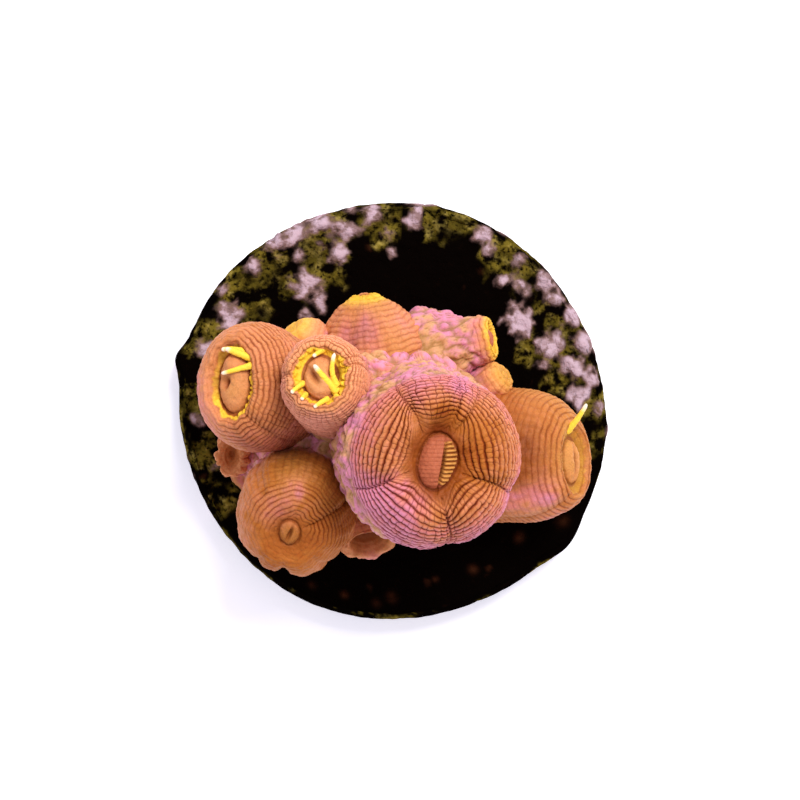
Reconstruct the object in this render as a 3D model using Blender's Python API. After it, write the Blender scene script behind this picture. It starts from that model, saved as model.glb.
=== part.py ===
"""Sun coral colony grown on a round frag disc.

The disc lies flat on its underside. A lumpy crust of coral covers its middle, and
fleshy polyps rise from that crust and face outwards. Run it with
blender --background --python part.py, or from the text editor. Metres, +Z up, with the
origin in the middle of the disc's underside and the colony's front towards -Y.
"""

import math
from dataclasses import dataclass, replace

import bmesh
import bpy
from mathutils import Vector, noise

MM = 0.001

# Disc
DISC_RADIUS = 15.8 * MM
DISC_THICKNESS = 5.0 * MM
DISC_OVAL = 0.017
DISC_OVAL_HEADING = -23.0
DISC_WAVE = 0.15 * MM
DISC_SEGMENTS = 56
RIM_BEVEL = 0.55 * MM
FOOT_BEVEL = 0.30 * MM
# Where crusts widen the rim: a heading, a width in degrees and a growth.
RIM_GROWTHS = ((-37.0, 7.0, 0.50 * MM), (166.0, 4.0, 0.60 * MM))
DISC_RINGS = (0.36, 0.66, 0.77, 0.85, 0.92, 0.975)
CRUST_RELIEF = 0.70 * MM
CRUST_LUMP = 2.0 * MM

# Shared crust that the polyps grow from
GAP = 0.30 * MM
FLOOR = DISC_THICKNESS + GAP
BASE_CENTRE = (-0.6 * MM, -1.6 * MM)
BASE_REACH = (11.4 * MM, 8.0 * MM)
BASE_EDGE = 0.9 * MM
BASE_RINGS = 12
BASE_SEGMENTS = 36
BASE_LUMP = 0.35 * MM
BASE_LUMP_SIZE = 2.2 * MM
# Where the crust spreads further or less far: a heading, a width in degrees and a growth.
BASE_GROWTHS = ((192.0, 20.0, 1.3 * MM), (22.0, 24.0, -2.4 * MM))
# Each hummock: its place, its height over the crust's edge and its width.
HUMMOCKS = (
    (0.6 * MM, 0.6 * MM, 9.6 * MM, 5.4 * MM),
    (4.6 * MM, 3.2 * MM, 5.6 * MM, 3.6 * MM),
    (-3.0 * MM, 4.0 * MM, 5.0 * MM, 3.6 * MM),
    (-7.6 * MM, 1.2 * MM, 4.6 * MM, 3.4 * MM),
    (-5.4 * MM, -4.8 * MM, 5.2 * MM, 3.6 * MM),
    (6.6 * MM, -3.0 * MM, 4.6 * MM, 3.6 * MM),
    (-0.6 * MM, -6.6 * MM, 3.2 * MM, 3.2 * MM),
)

# Ridges that ring every polyp
CREASE_DEPTH = 0.55 * MM
CREASE_WIDTH = 9.0
FLANK_RINGS = 4
ORAL_RINGS = 4
FLANK_LUMP = 0.30 * MM
FLANK_LUMP_SIZE = 2.0 * MM
FLAT_WITHIN = math.radians(3.5)
CRUMB = 0.02 * MM

TISSUE = ("coral tissue", (0.72, 0.36, 0.22, 1.0), 0.48)
PALE_TISSUE = ("shared coral tissue", (0.62, 0.45, 0.36, 1.0), 0.55)
GOLD_TISSUE = ("golden bud tissue", (0.82, 0.50, 0.16, 1.0), 0.50)
CRUSTED_DISC = ("crusted disc", (0.035, 0.030, 0.026, 1.0), 0.85)


@dataclass
class Polyp:
    """One polyp, from its root inside the crust to the crown of its head, in millimetres."""

    root: tuple
    bend: tuple
    crown: tuple
    across: tuple
    stalk: float
    drop: float
    mouth: tuple
    dip: float
    cone: tuple
    cone_rise: float
    ridges: int
    segments: int
    creases: tuple = ()
    spin: float = 0.0
    ridge_height: float = 0.11
    skin: tuple = TISSUE


POLYPS = {
    "tall_polyp": Polyp(
        root=(1.2, -2.0, 5.3), bend=(1.9, -2.9, 16.5), crown=(3.35, -3.7, 26.9),
        across=(6.35, 6.35), stalk=6.3, drop=5.4, mouth=(2.0, 2.5), dip=0.9,
        cone=(1.35, 1.9), cone_rise=0.55, ridges=8, segments=36,
        creases=(65.0, 117.0, 199.0, 280.0, 338.0),
    ),
    "small_polyp": Polyp(
        root=(-3.6, 0.5, 5.3), bend=(-4.2, 1.0, 15.0), crown=(-5.0, 2.6, 23.8),
        across=(3.15, 3.25), stalk=3.3, drop=3.2, mouth=(1.65, 1.80), dip=1.0,
        cone=(0.95, 1.25), cone_rise=0.85, ridges=5, segments=22,
        creases=(175.0, 20.0),
    ),
    "left_polyp": Polyp(
        root=(-6.5, 0.6, 5.3), bend=(-8.0, 1.4, 13.4), crown=(-11.6, 2.1, 19.3),
        across=(4.1, 4.65), stalk=3.9, drop=4.0, mouth=(1.55, 2.35), dip=1.0,
        cone=(0.95, 1.65), cone_rise=0.85, ridges=5, segments=26,
        creases=(300.0,),
    ),
    "front_left_polyp": Polyp(
        root=(-4.8, -4.3, 6.6), bend=(-7.2, -6.5, 12.0), crown=(-7.4, -8.8, 17.1),
        across=(4.35, 4.4), stalk=3.9, drop=3.9, mouth=(1.0, 1.05), dip=0.45,
        cone=(0.78, 0.80), cone_rise=0.45, ridges=6, segments=26,
        creases=(24.0, 262.0),
    ),
    "right_polyp": Polyp(
        root=(3.8, -2.6, 9.6), bend=(9.0, -3.6, 11.4), crown=(14.2, -2.9, 13.0),
        across=(4.4, 4.6), stalk=5.3, drop=5.4, mouth=(1.5, 2.0), dip=0.8,
        cone=(1.0, 1.4), cone_rise=0.80, ridges=5, segments=26,
        creases=(255.0,),
    ),
    "back_polyp": Polyp(
        root=(-1.0, 1.5, 8.6), bend=(-1.6, 4.4, 11.4), crown=(-1.9, 7.8, 13.4),
        across=(3.75, 3.2), stalk=3.4, drop=4.2, mouth=(1.1, 1.0), dip=0.6,
        cone=(0.7, 0.65), cone_rise=0.55, ridges=5, segments=20,
    ),
    "back_right_polyp": Polyp(
        root=(1.6, 4.0, 9.6), bend=(4.6, 4.8, 11.2), crown=(7.3, 5.4, 12.6),
        across=(1.75, 1.75), stalk=2.6, drop=1.6, mouth=(1.15, 1.15), dip=0.6,
        cone=(0.7, 0.75), cone_rise=0.50, ridges=4, segments=16,
    ),
    "back_left_bud": Polyp(
        root=(-4.2, 2.8, 8.0), bend=(-6.0, 4.5, 10.8), crown=(-7.3, 6.0, 12.8),
        across=(1.8, 1.8), stalk=2.0, drop=1.6, mouth=(0.8, 0.8), dip=0.4,
        cone=(0.45, 0.45), cone_rise=0.30, ridges=2, segments=12, skin=GOLD_TISSUE,
    ),
    "right_bud": Polyp(
        root=(5.4, 0.6, 9.0), bend=(7.0, 1.8, 11.0), crown=(8.2, 2.7, 12.9),
        across=(1.3, 1.3), stalk=1.8, drop=1.2, mouth=(0.6, 0.6), dip=0.3,
        cone=(0.35, 0.35), cone_rise=0.25, ridges=2, segments=12, skin=GOLD_TISSUE,
    ),
    "front_bud": Polyp(
        root=(-2.6, -6.0, 6.4), bend=(-2.3, -8.2, 8.0), crown=(-1.6, -10.0, 10.0),
        across=(2.1, 1.8), stalk=2.0, drop=1.5, mouth=(1.2, 1.0), dip=0.9,
        cone=(0.6, 0.5), cone_rise=0.25, ridges=2, segments=14,
    ),
}


def smooth_step(value):
    value = min(max(value, 0.0), 1.0)
    return value * value * (3.0 - 2.0 * value)


def turn_between(a, b):
    """The smallest angle between two headings, in degrees."""
    return abs((a - b + 180.0) % 360.0 - 180.0)


def material(skin):
    """A plain finish of the part's own colour and roughness."""
    name, colour, roughness = skin
    made = bpy.data.materials.get(name) or bpy.data.materials.new(name)
    made.use_nodes = True
    surface = made.node_tree.nodes["Principled BSDF"]
    surface.inputs["Base Color"].default_value = colour
    surface.inputs["Roughness"].default_value = roughness
    surface.inputs["Metallic"].default_value = 0.0
    return made


def wrapped_sphere(name, segments, rings, place):
    """A UV sphere whose rings, counted from the top pole, are moved to place(ring, turn)."""
    shape = bmesh.new()
    bmesh.ops.create_uvsphere(shape, u_segments=segments, v_segments=rings, radius=1.0)
    for vertex in shape.verts:
        ring = round(rings * math.acos(min(max(vertex.co.z, -1.0), 1.0)) / math.pi)
        turn = math.degrees(math.atan2(vertex.co.y, vertex.co.x))
        vertex.co = place(ring, turn)
    mesh = bpy.data.meshes.new(name)
    shape.to_mesh(mesh)
    shape.free()
    return mesh


def swollen(mesh, by):
    """A copy of the mesh, moved out along its normals."""
    shape = bmesh.new()
    shape.from_mesh(mesh)
    shape.normal_update()
    places = [vertex.co + vertex.normal * by for vertex in shape.verts]
    for vertex, moved in zip(shape.verts, places):
        vertex.co = moved
    made = bpy.data.meshes.new(mesh.name + "_clearance")
    shape.to_mesh(made)
    shape.free()
    return made


def on_base_outline(turn):
    """How far the crust spreads from its centre at this heading."""
    along, side = math.cos(math.radians(turn)), math.sin(math.radians(turn))
    reach = 1.0 / math.hypot(along / BASE_REACH[0], side / BASE_REACH[1])
    reach *= 1.0 + 0.02 * math.sin(math.radians(5 * turn))
    for heading, width, growth in BASE_GROWTHS:
        reach += growth * math.exp(-((turn_between(turn, heading) / width) ** 2))
    return reach


def over_base(x, y):
    """How far out a point of the disc lies from the crust's centre: 1 on the crust's edge."""
    x, y = x - BASE_CENTRE[0], y - BASE_CENTRE[1]
    return math.hypot(x, y) / on_base_outline(math.degrees(math.atan2(y, x)))


def lumps(point, size):
    """Rounded natural unevenness between -1 and 1."""
    return noise.noise(Vector(point) / size, noise_basis="PERLIN_ORIGINAL")


def disc_outline(turn):
    """The disc's radius at this heading, with the crusts that have grown on its rim."""
    oval_turn = math.radians(2 * (turn - DISC_OVAL_HEADING))
    radius = DISC_RADIUS * (1.0 + DISC_OVAL * math.cos(oval_turn))
    radius -= DISC_WAVE * math.sin(math.radians(4 * turn))
    for heading, width, growth in RIM_GROWTHS:
        radius += growth * math.exp(-((turn_between(turn, heading) / width) ** 2))
    return radius


def disc_place(ring, turn):
    """The disc from the middle of its top, over the rim, to the middle of its underside."""
    radius = disc_outline(turn)
    top_rings = len(DISC_RINGS)
    heights = {
        top_rings + 1: (radius, DISC_THICKNESS - RIM_BEVEL),
        top_rings + 2: (radius - 0.1 * MM, FOOT_BEVEL),
        top_rings + 3: (radius - 0.1 * MM - FOOT_BEVEL, 0.0),
        top_rings + 4: (radius * 0.5, 0.0),
        top_rings + 5: (0.0, 0.0),
    }
    if ring in heights:
        out, height = heights[ring]
    else:
        out = radius * (0.0 if ring == 0 else DISC_RINGS[ring - 1])
        height = DISC_THICKNESS
    x, y = out * math.cos(math.radians(turn)), out * math.sin(math.radians(turn))
    if 0 < ring <= top_rings:
        grown = smooth_step((over_base(x, y) - 1.04) / 0.12)
        relief = lumps((x, y, 3.0 * MM), CRUST_LUMP) - 0.25
        height += grown * CRUST_RELIEF * relief
    return Vector((x, y, height))


def base_place(ring, turn):
    """The crust from its summit, down to its edge on the disc, and flat underneath."""
    last = BASE_RINGS - 1
    share = min(ring / (last - 1), 1.0) if ring < last else 0.5 * (BASE_RINGS - ring)
    reach = on_base_outline(turn) * share
    x = BASE_CENTRE[0] + reach * math.cos(math.radians(turn))
    y = BASE_CENTRE[1] + reach * math.sin(math.radians(turn))
    if ring >= last - 1:
        return Vector((x, y, FLOOR))
    height = BASE_EDGE
    for hx, hy, rise, width in HUMMOCKS:
        height += rise * math.exp(-((math.hypot(x - hx, y - hy) / width) ** 2))
    height += BASE_LUMP * lumps((x, y, 0.0), BASE_LUMP_SIZE)
    return Vector((x, y, FLOOR + height * math.sqrt(1.0 - share**4)))


def axis_point(polyp, below):
    """The point on the polyp's bent axis this far below its crown, and the turn of its frame."""
    root, bend, crown = Vector(polyp.root), Vector(polyp.bend), Vector(polyp.crown)
    length = (crown - root).length
    along = 1.0 - below / length
    tangent = (crown - bend) if along > 1.0 else (bend - root).lerp(crown - bend, along)
    if along > 1.0:
        centre = crown + (crown - bend).normalized() * (-below)
    else:
        centre = root.lerp(bend, along).lerp(bend.lerp(crown, along), along)
    return centre, Vector((0.0, 0.0, 1.0)).rotation_difference(tangent)


def oval(radii, turn, spin):
    """The radius of an oval with these two radii at this heading."""
    angle = math.radians(turn - spin)
    return 1.0 / math.hypot(math.cos(angle) / radii[0], math.sin(angle) / radii[1])


def polyp_place(polyp, ring, turn):
    """The polyp from its mouth, over the ridged lobes of its head and down its flank."""
    ridge_rings = 2 * polyp.ridges
    crease = sum(
        math.exp(-((turn_between(turn, heading) / CREASE_WIDTH) ** 2))
        for heading in polyp.creases
    )
    cone = oval(polyp.cone, turn, polyp.spin)
    mouth = oval(polyp.mouth, turn, polyp.spin) * (1.0 + 0.45 * crease)
    widest = oval(polyp.across, turn, 0.0) * (1.0 - 0.05 * crease)
    length = (Vector(polyp.crown) - Vector(polyp.root)).length
    wave, lump = 0.0, 0.0
    if ring == 0:
        out, below = 0.0, polyp.dip - polyp.cone_rise
    elif ring == 1:
        out, below = 0.6 * cone, polyp.dip - 0.85 * polyp.cone_rise
    elif ring < ORAL_RINGS:
        out = cone if ring == 2 else 0.5 * (cone + mouth)
        below = polyp.dip
    elif ring < ORAL_RINGS + ridge_rings:
        share = (ring - ORAL_RINGS) / ridge_rings
        slope = share * math.pi / 2
        out = mouth + (widest - mouth) * math.sin(slope)
        inner = 1.0 - smooth_step(share / 0.30)
        fade = math.sin(math.pi * min(share * 1.4, 1.0))
        below = polyp.drop * (1.0 - math.cos(slope)) + 0.8 * polyp.dip * inner
        below += crease * CREASE_DEPTH / MM * fade
        wave = polyp.ridge_height * (1.0 if ring % 2 else -1.0)
    else:
        share = (ring - ORAL_RINGS - ridge_rings + 1) / (FLANK_RINGS + 1)
        below = polyp.drop + (length - polyp.drop) * share
        out = widest + (polyp.stalk - widest) * smooth_step(share * 1.6)
        lump = FLANK_LUMP / MM * smooth_step(share * 3.0)
        if share >= 1.0:
            out, below = 0.0, length
    centre, frame = axis_point(polyp, below)
    heading = Vector((math.cos(math.radians(turn)), math.sin(math.radians(turn)), 0.0))
    steep = math.atan2(below, max(out, 0.1))
    outward = heading * math.sin(steep) + Vector((0.0, 0.0, math.cos(steep)))
    point = centre + frame @ (heading * out + outward * wave)
    point += frame @ heading * (lump * lumps(point * MM, FLANK_LUMP_SIZE))
    point.z = max(point.z, FLOOR / MM)
    return point * MM


def plain(polyp):
    """The same polyp with no ridges and fewer faces, to hold its neighbours clear of it."""
    return replace(polyp, ridge_height=0.0, ridges=3, segments=2 * (polyp.segments // 3))


def polyp_mesh(name, polyp):
    rings = ORAL_RINGS + 2 * polyp.ridges + FLANK_RINGS
    return wrapped_sphere(
        name, polyp.segments, rings, lambda ring, turn: polyp_place(polyp, ring, turn)
    )


def largest_body(mesh):
    """Drops the crumbs that a cut can leave beside the main body."""
    shape = bmesh.new()
    shape.from_mesh(mesh)
    bmesh.ops.triangulate(shape, faces=shape.faces[:])
    waiting, bodies = set(shape.verts), []
    while waiting:
        body, front = set(), [waiting.pop()]
        while front:
            vertex = front.pop()
            body.add(vertex)
            for edge in vertex.link_edges:
                other = edge.other_vert(vertex)
                if other in waiting:
                    waiting.remove(other)
                    front.append(other)
        bodies.append(body)
    main = max(bodies, key=len)
    crumbs = [vertex for vertex in shape.verts if vertex not in main]
    bmesh.ops.delete(shape, geom=crumbs, context="VERTS")
    bmesh.ops.dissolve_degenerate(shape, dist=CRUMB, edges=shape.edges[:])
    bmesh.ops.dissolve_limit(
        shape, angle_limit=FLAT_WITHIN, verts=shape.verts[:], edges=shape.edges[:]
    )
    bmesh.ops.triangulate(shape, faces=shape.faces[:])
    shape.to_mesh(mesh)
    shape.free()


def cut(part, cutters):
    """Cuts the part back from its neighbours and leaves plain mesh behind."""
    for cutter in cutters:
        trim = part.modifiers.new(cutter.name, "BOOLEAN")
        trim.operation = "DIFFERENCE"
        trim.solver = "EXACT"
        trim.use_self = True
        trim.object = cutter
    bpy.context.view_layer.update()
    graph = bpy.context.evaluated_depsgraph_get()
    made = bpy.data.meshes.new_from_object(part.evaluated_get(graph))
    part.modifiers.clear()
    part.data = made
    largest_body(made)


def part_object(name, mesh, skin, collection):
    made = bpy.data.objects.new(name, mesh)
    mesh.materials.clear()
    mesh.materials.append(material(skin))
    mesh.shade_smooth()
    mesh.set_sharp_from_angle(angle=math.radians(60))
    collection.objects.link(made)
    return made


def cutter_object(mesh, clearance, collection):
    made = bpy.data.objects.new("clear_of_" + mesh.name, swollen(mesh, clearance))
    made.hide_render = True
    made.display_type = "WIRE"
    collection.objects.link(made)
    return made


def near(one, other):
    """Whether the boxes of two objects meet."""
    boxes = []
    for thing in (one, other):
        corners = [vertex.co for vertex in thing.data.vertices]
        low = [min(corner[axis] for corner in corners) for axis in range(3)]
        high = [max(corner[axis] for corner in corners) for axis in range(3)]
        boxes.append((low, high))
    (low_a, high_a), (low_b, high_b) = boxes
    return all(low_a[i] < high_b[i] and low_b[i] < high_a[i] for i in range(3))


def main():
    for thing in list(bpy.data.objects):
        bpy.data.objects.remove(thing, do_unlink=True)
    coral = bpy.data.collections.new("sun coral")
    clearances = bpy.data.collections.new("clearances")
    bpy.context.scene.collection.children.link(coral)
    bpy.context.scene.collection.children.link(clearances)

    disc_rings = len(DISC_RINGS) + 5
    disc = wrapped_sphere("frag_disc", DISC_SEGMENTS, disc_rings, disc_place)
    part_object("frag_disc", disc, CRUSTED_DISC, coral)
    base = wrapped_sphere("colony_base", BASE_SEGMENTS, BASE_RINGS, base_place)
    part_object("colony_base", base, PALE_TISSUE, coral)

    grown = [cutter_object(base, GAP, clearances)]
    for name, polyp in POLYPS.items():
        part = part_object(name, polyp_mesh(name, polyp), polyp.skin, coral)
        cut(part, [cutter for cutter in grown if near(part, cutter)])
        clear_by = GAP + polyp.ridge_height * MM
        grown.append(cutter_object(polyp_mesh(name, plain(polyp)), clear_by, clearances))


main()
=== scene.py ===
"""The living surface of a sun coral colony, grown round its solids.

Each operator builds one piece or group of like pieces over the solids: the crusted disc,
the shared crust, the polyps, their tentacles and the stage. Lengths in the tables are in
millimetres, in the colony's own frame: +Z up, the origin under the middle of the disc and
the colony's front towards -Y.
"""

import itertools
import math
from dataclasses import dataclass

import bmesh
import bpy
import numpy as np
from bpy.props import FloatProperty, FloatVectorProperty, PointerProperty
from bpy.types import Operator, Panel, PropertyGroup
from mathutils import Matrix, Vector


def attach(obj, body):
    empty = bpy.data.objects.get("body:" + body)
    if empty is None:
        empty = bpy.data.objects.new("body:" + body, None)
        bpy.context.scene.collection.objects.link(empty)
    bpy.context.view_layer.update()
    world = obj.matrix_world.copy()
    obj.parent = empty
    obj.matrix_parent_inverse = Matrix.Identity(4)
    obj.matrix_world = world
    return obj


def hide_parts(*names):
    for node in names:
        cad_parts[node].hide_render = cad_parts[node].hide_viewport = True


bl_info = {
    "name": "Sun coral colony",
    "version": (1, 0, 0),
    "blender": (4, 5, 0),
    "location": "View3D > Sidebar > Sun coral",
    "description": "Grows the surface of a sun coral colony over its solids",
    "category": "Object",
}

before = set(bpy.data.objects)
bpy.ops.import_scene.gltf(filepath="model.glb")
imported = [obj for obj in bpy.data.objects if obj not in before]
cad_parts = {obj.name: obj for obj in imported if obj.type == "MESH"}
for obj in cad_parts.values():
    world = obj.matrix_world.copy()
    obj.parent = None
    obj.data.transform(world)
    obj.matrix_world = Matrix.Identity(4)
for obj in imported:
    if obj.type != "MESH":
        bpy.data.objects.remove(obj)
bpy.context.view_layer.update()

MM = 0.001
BODY = "root"

# The camera looks straight down on the colony.
CAMERA_PLACE = (0.55, 0.82, 305.0)
CAMERA_SENSOR = 36.0
CAMERA_LENS = 180.9

# The stage: the floor's radius in metres, and the large soft light's place and width.
FLOOR_RADIUS = 0.6
FLOOR_GLOW_COLOUR = (0.86, 0.84, 1.0, 1.0)
KEY_PLACE = (85.0, 135.0, 310.0)
KEY_WIDTH = 140.0
KEY_COLOUR = (1.0, 0.98, 0.95)
SKY_COLOUR = (0.95, 0.92, 0.98, 1.0)

# How finely the disc, the crust and the tentacles are made. The disc's rings are on its top,
# on its rim and underneath.
DISC_SEGMENTS = 360
DISC_RINGS = (96, 26, 8)
CRUST_SEGMENTS = 330
CRUST_RINGS = 130
TENTACLE_SEGMENTS = 20
TENTACLE_RINGS = 44

# How far a crease spreads round the polyp in degrees, how wide its sharp middle is, and how
# far apart the fingers of the tall polyp's lips are.
CREASE_SPREAD = 9.0
CREASE_WIDTH = 0.06
LIP_SPACING = 0.29

# The disc and the crust, as in the solids. The growths on their outlines are a heading, a
# width and a height.
DISC_RADIUS = 15.8
DISC_THICKNESS = 5.0
DISC_OVAL = 0.017
DISC_OVAL_HEADING = -23.0
DISC_WAVE = 0.15
RIM_GROWTHS = ((-37.0, 7.0, 0.50), (166.0, 4.0, 0.60))
DISC_TOP = DISC_THICKNESS
# The thin film on the front edge of the rim: its heading and its width.
FILM = (-97.0, 26.0)
CRUST_CENTRE = (-0.6, -1.6)
CRUST_REACH = (11.4, 8.0)
CRUST_EDGE = 1.1
CRUST_GROWTHS = ((192.0, 20.0, 1.3), (22.0, 24.0, -2.4))
# Hummocks of the crust: x, y, rise and width.
HUMMOCKS = (
    (0.6, 0.6, 9.6, 5.4), (4.6, 3.2, 5.6, 3.6), (-3.0, 4.0, 5.0, 3.6), (-7.6, 1.2, 4.6, 3.4),
    (-5.4, -4.8, 5.2, 3.6), (6.6, -3.0, 4.6, 3.6), (-0.6, -6.6, 3.2, 3.2),
)
# Folds of tissue that join the polyps, in the same way.
FOLDS = (
    (-5.7, 5.0, 2.4, 1.9), (-7.6, -2.2, 2.6, 2.0), (-2.6, -3.4, 2.2, 2.2), (3.4, 5.2, 1.6, 2.0),
    (7.4, 0.8, 1.6, 1.6), (-2.6, 6.2, 1.8, 1.8), (-10.4, -4.2, 1.8, 1.4),
)


@dataclass(kw_only=True)
class Polyp:
    """One polyp, as in the solids, and how its skin is shaped and marked.

    Headings are in degrees round the polyp's own axis. Places beside the mouth are x and y
    from the middle of the mouth.
    """

    # The bent axis: its root, its bend and the crown that it ends in.
    root: tuple
    bend: tuple
    crown: tuple
    # The head's half widths, the stalk's radius, and how far the dome drops to the widest.
    across: tuple
    stalk: float
    drop: float
    # How far the lobes bulge, how pointed the dome is, how much the stalk spreads at its
    # foot, and how uneven the outline is.
    lobes: float = 0.0
    point: float = 0.0
    flare: float = 0.0
    wobble: float = 0.0
    # Furrows and bulges of the outline: heading, width and depth.
    notches: tuple = ()
    # The mouth's half widths and its depth, the share of the dome that its rim takes, its
    # place beside the crown's middle, and the height of the lumps round it.
    mouth: tuple
    dip: float
    rim: float = 0.30
    shift: tuple = (0.0, 0.0)
    frill: float = 0.0
    # The mound in the mouth: its half widths, its height, whether it is drawn out like a
    # teardrop, how pink and how pale it is, whether it is golden, and whether it has lips.
    cone: tuple
    cone_rise: float
    teardrop: float = 0.0
    mound: tuple = (1.0, 0.0)
    golden_mound: bool = False
    lips: bool = False
    # Hollows and knobs round the mouth: x, y, length, width, heading and height.
    marks: tuple = ()
    # Headings of the creases between the lobes, and how strong each crease is. Where the
    # ridges start at each crease, and in the middle of each lobe.
    creases: tuple = ()
    crease_marks: tuple = ()
    crease_starts: tuple = ()
    lobe_starts: tuple = ()
    # How much the creases cut in.
    crease_share: float = 1.0
    # Ridges between the mouth and the shoulder, and where they start and end along the
    # skin: start between creases and on them, end between creases and on them.
    ridges: float = 8.0
    pinch: tuple = (0.0, 0.3, 3.6, 3.5)
    pinch_power: float = 8.0
    # How far down the ridges run: on the bare side, elsewhere, and the bare side's heading.
    ridged: tuple = (7.0, 7.0, 150.0)
    # How high the ridges stand, how dark their furrows are, and how much they waver.
    relief: float = 1.0
    contrast: float = 1.0
    waver: float = 1.0
    # The heading where the ridges are faint, and how faint.
    faint: tuple = (0.0, 0.0)
    # Stripes that run down the skin: a heading and their strength.
    stripes: tuple = (0.0, 0.0)
    # Cross lines round the whole polyp, how much they show, how much the cells puff up
    # round the mouth, and where the lines make bricks: headings and widths.
    cells: int = 30
    celled: float = 0.35
    puffs: float = 0.0
    bricks: tuple = ()
    # Colour from the mouth outwards: where it starts and how much it reddens.
    tint: tuple = (0.25, 0.5)
    pale: float = 0.0
    # Golden skin round the mouth: its strength, its reach along the skin and its fading.
    # The golden side is a heading, and how much of the rest is bare.
    gold: tuple = (0.0, 0.2, 0.22)
    gold_side: tuple = (0.0, 0.0)
    # How much painted shade darkens the valley round the mouth's mound.
    valley_shade: float = 0.45
    # Redder, yellowed and shaded patches: x, y, reach and amount.
    patches: tuple = ()
    yellowed: tuple = ()
    shaded: tuple = ()
    # How finely the skin is made, the noise it takes, whether it has a solid, and its slot.
    segments: int = 300
    rings: tuple = (26, 90, 50)
    seed: int = 1
    solid: bool = True
    slot: str = "polyp_tissue"


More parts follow.
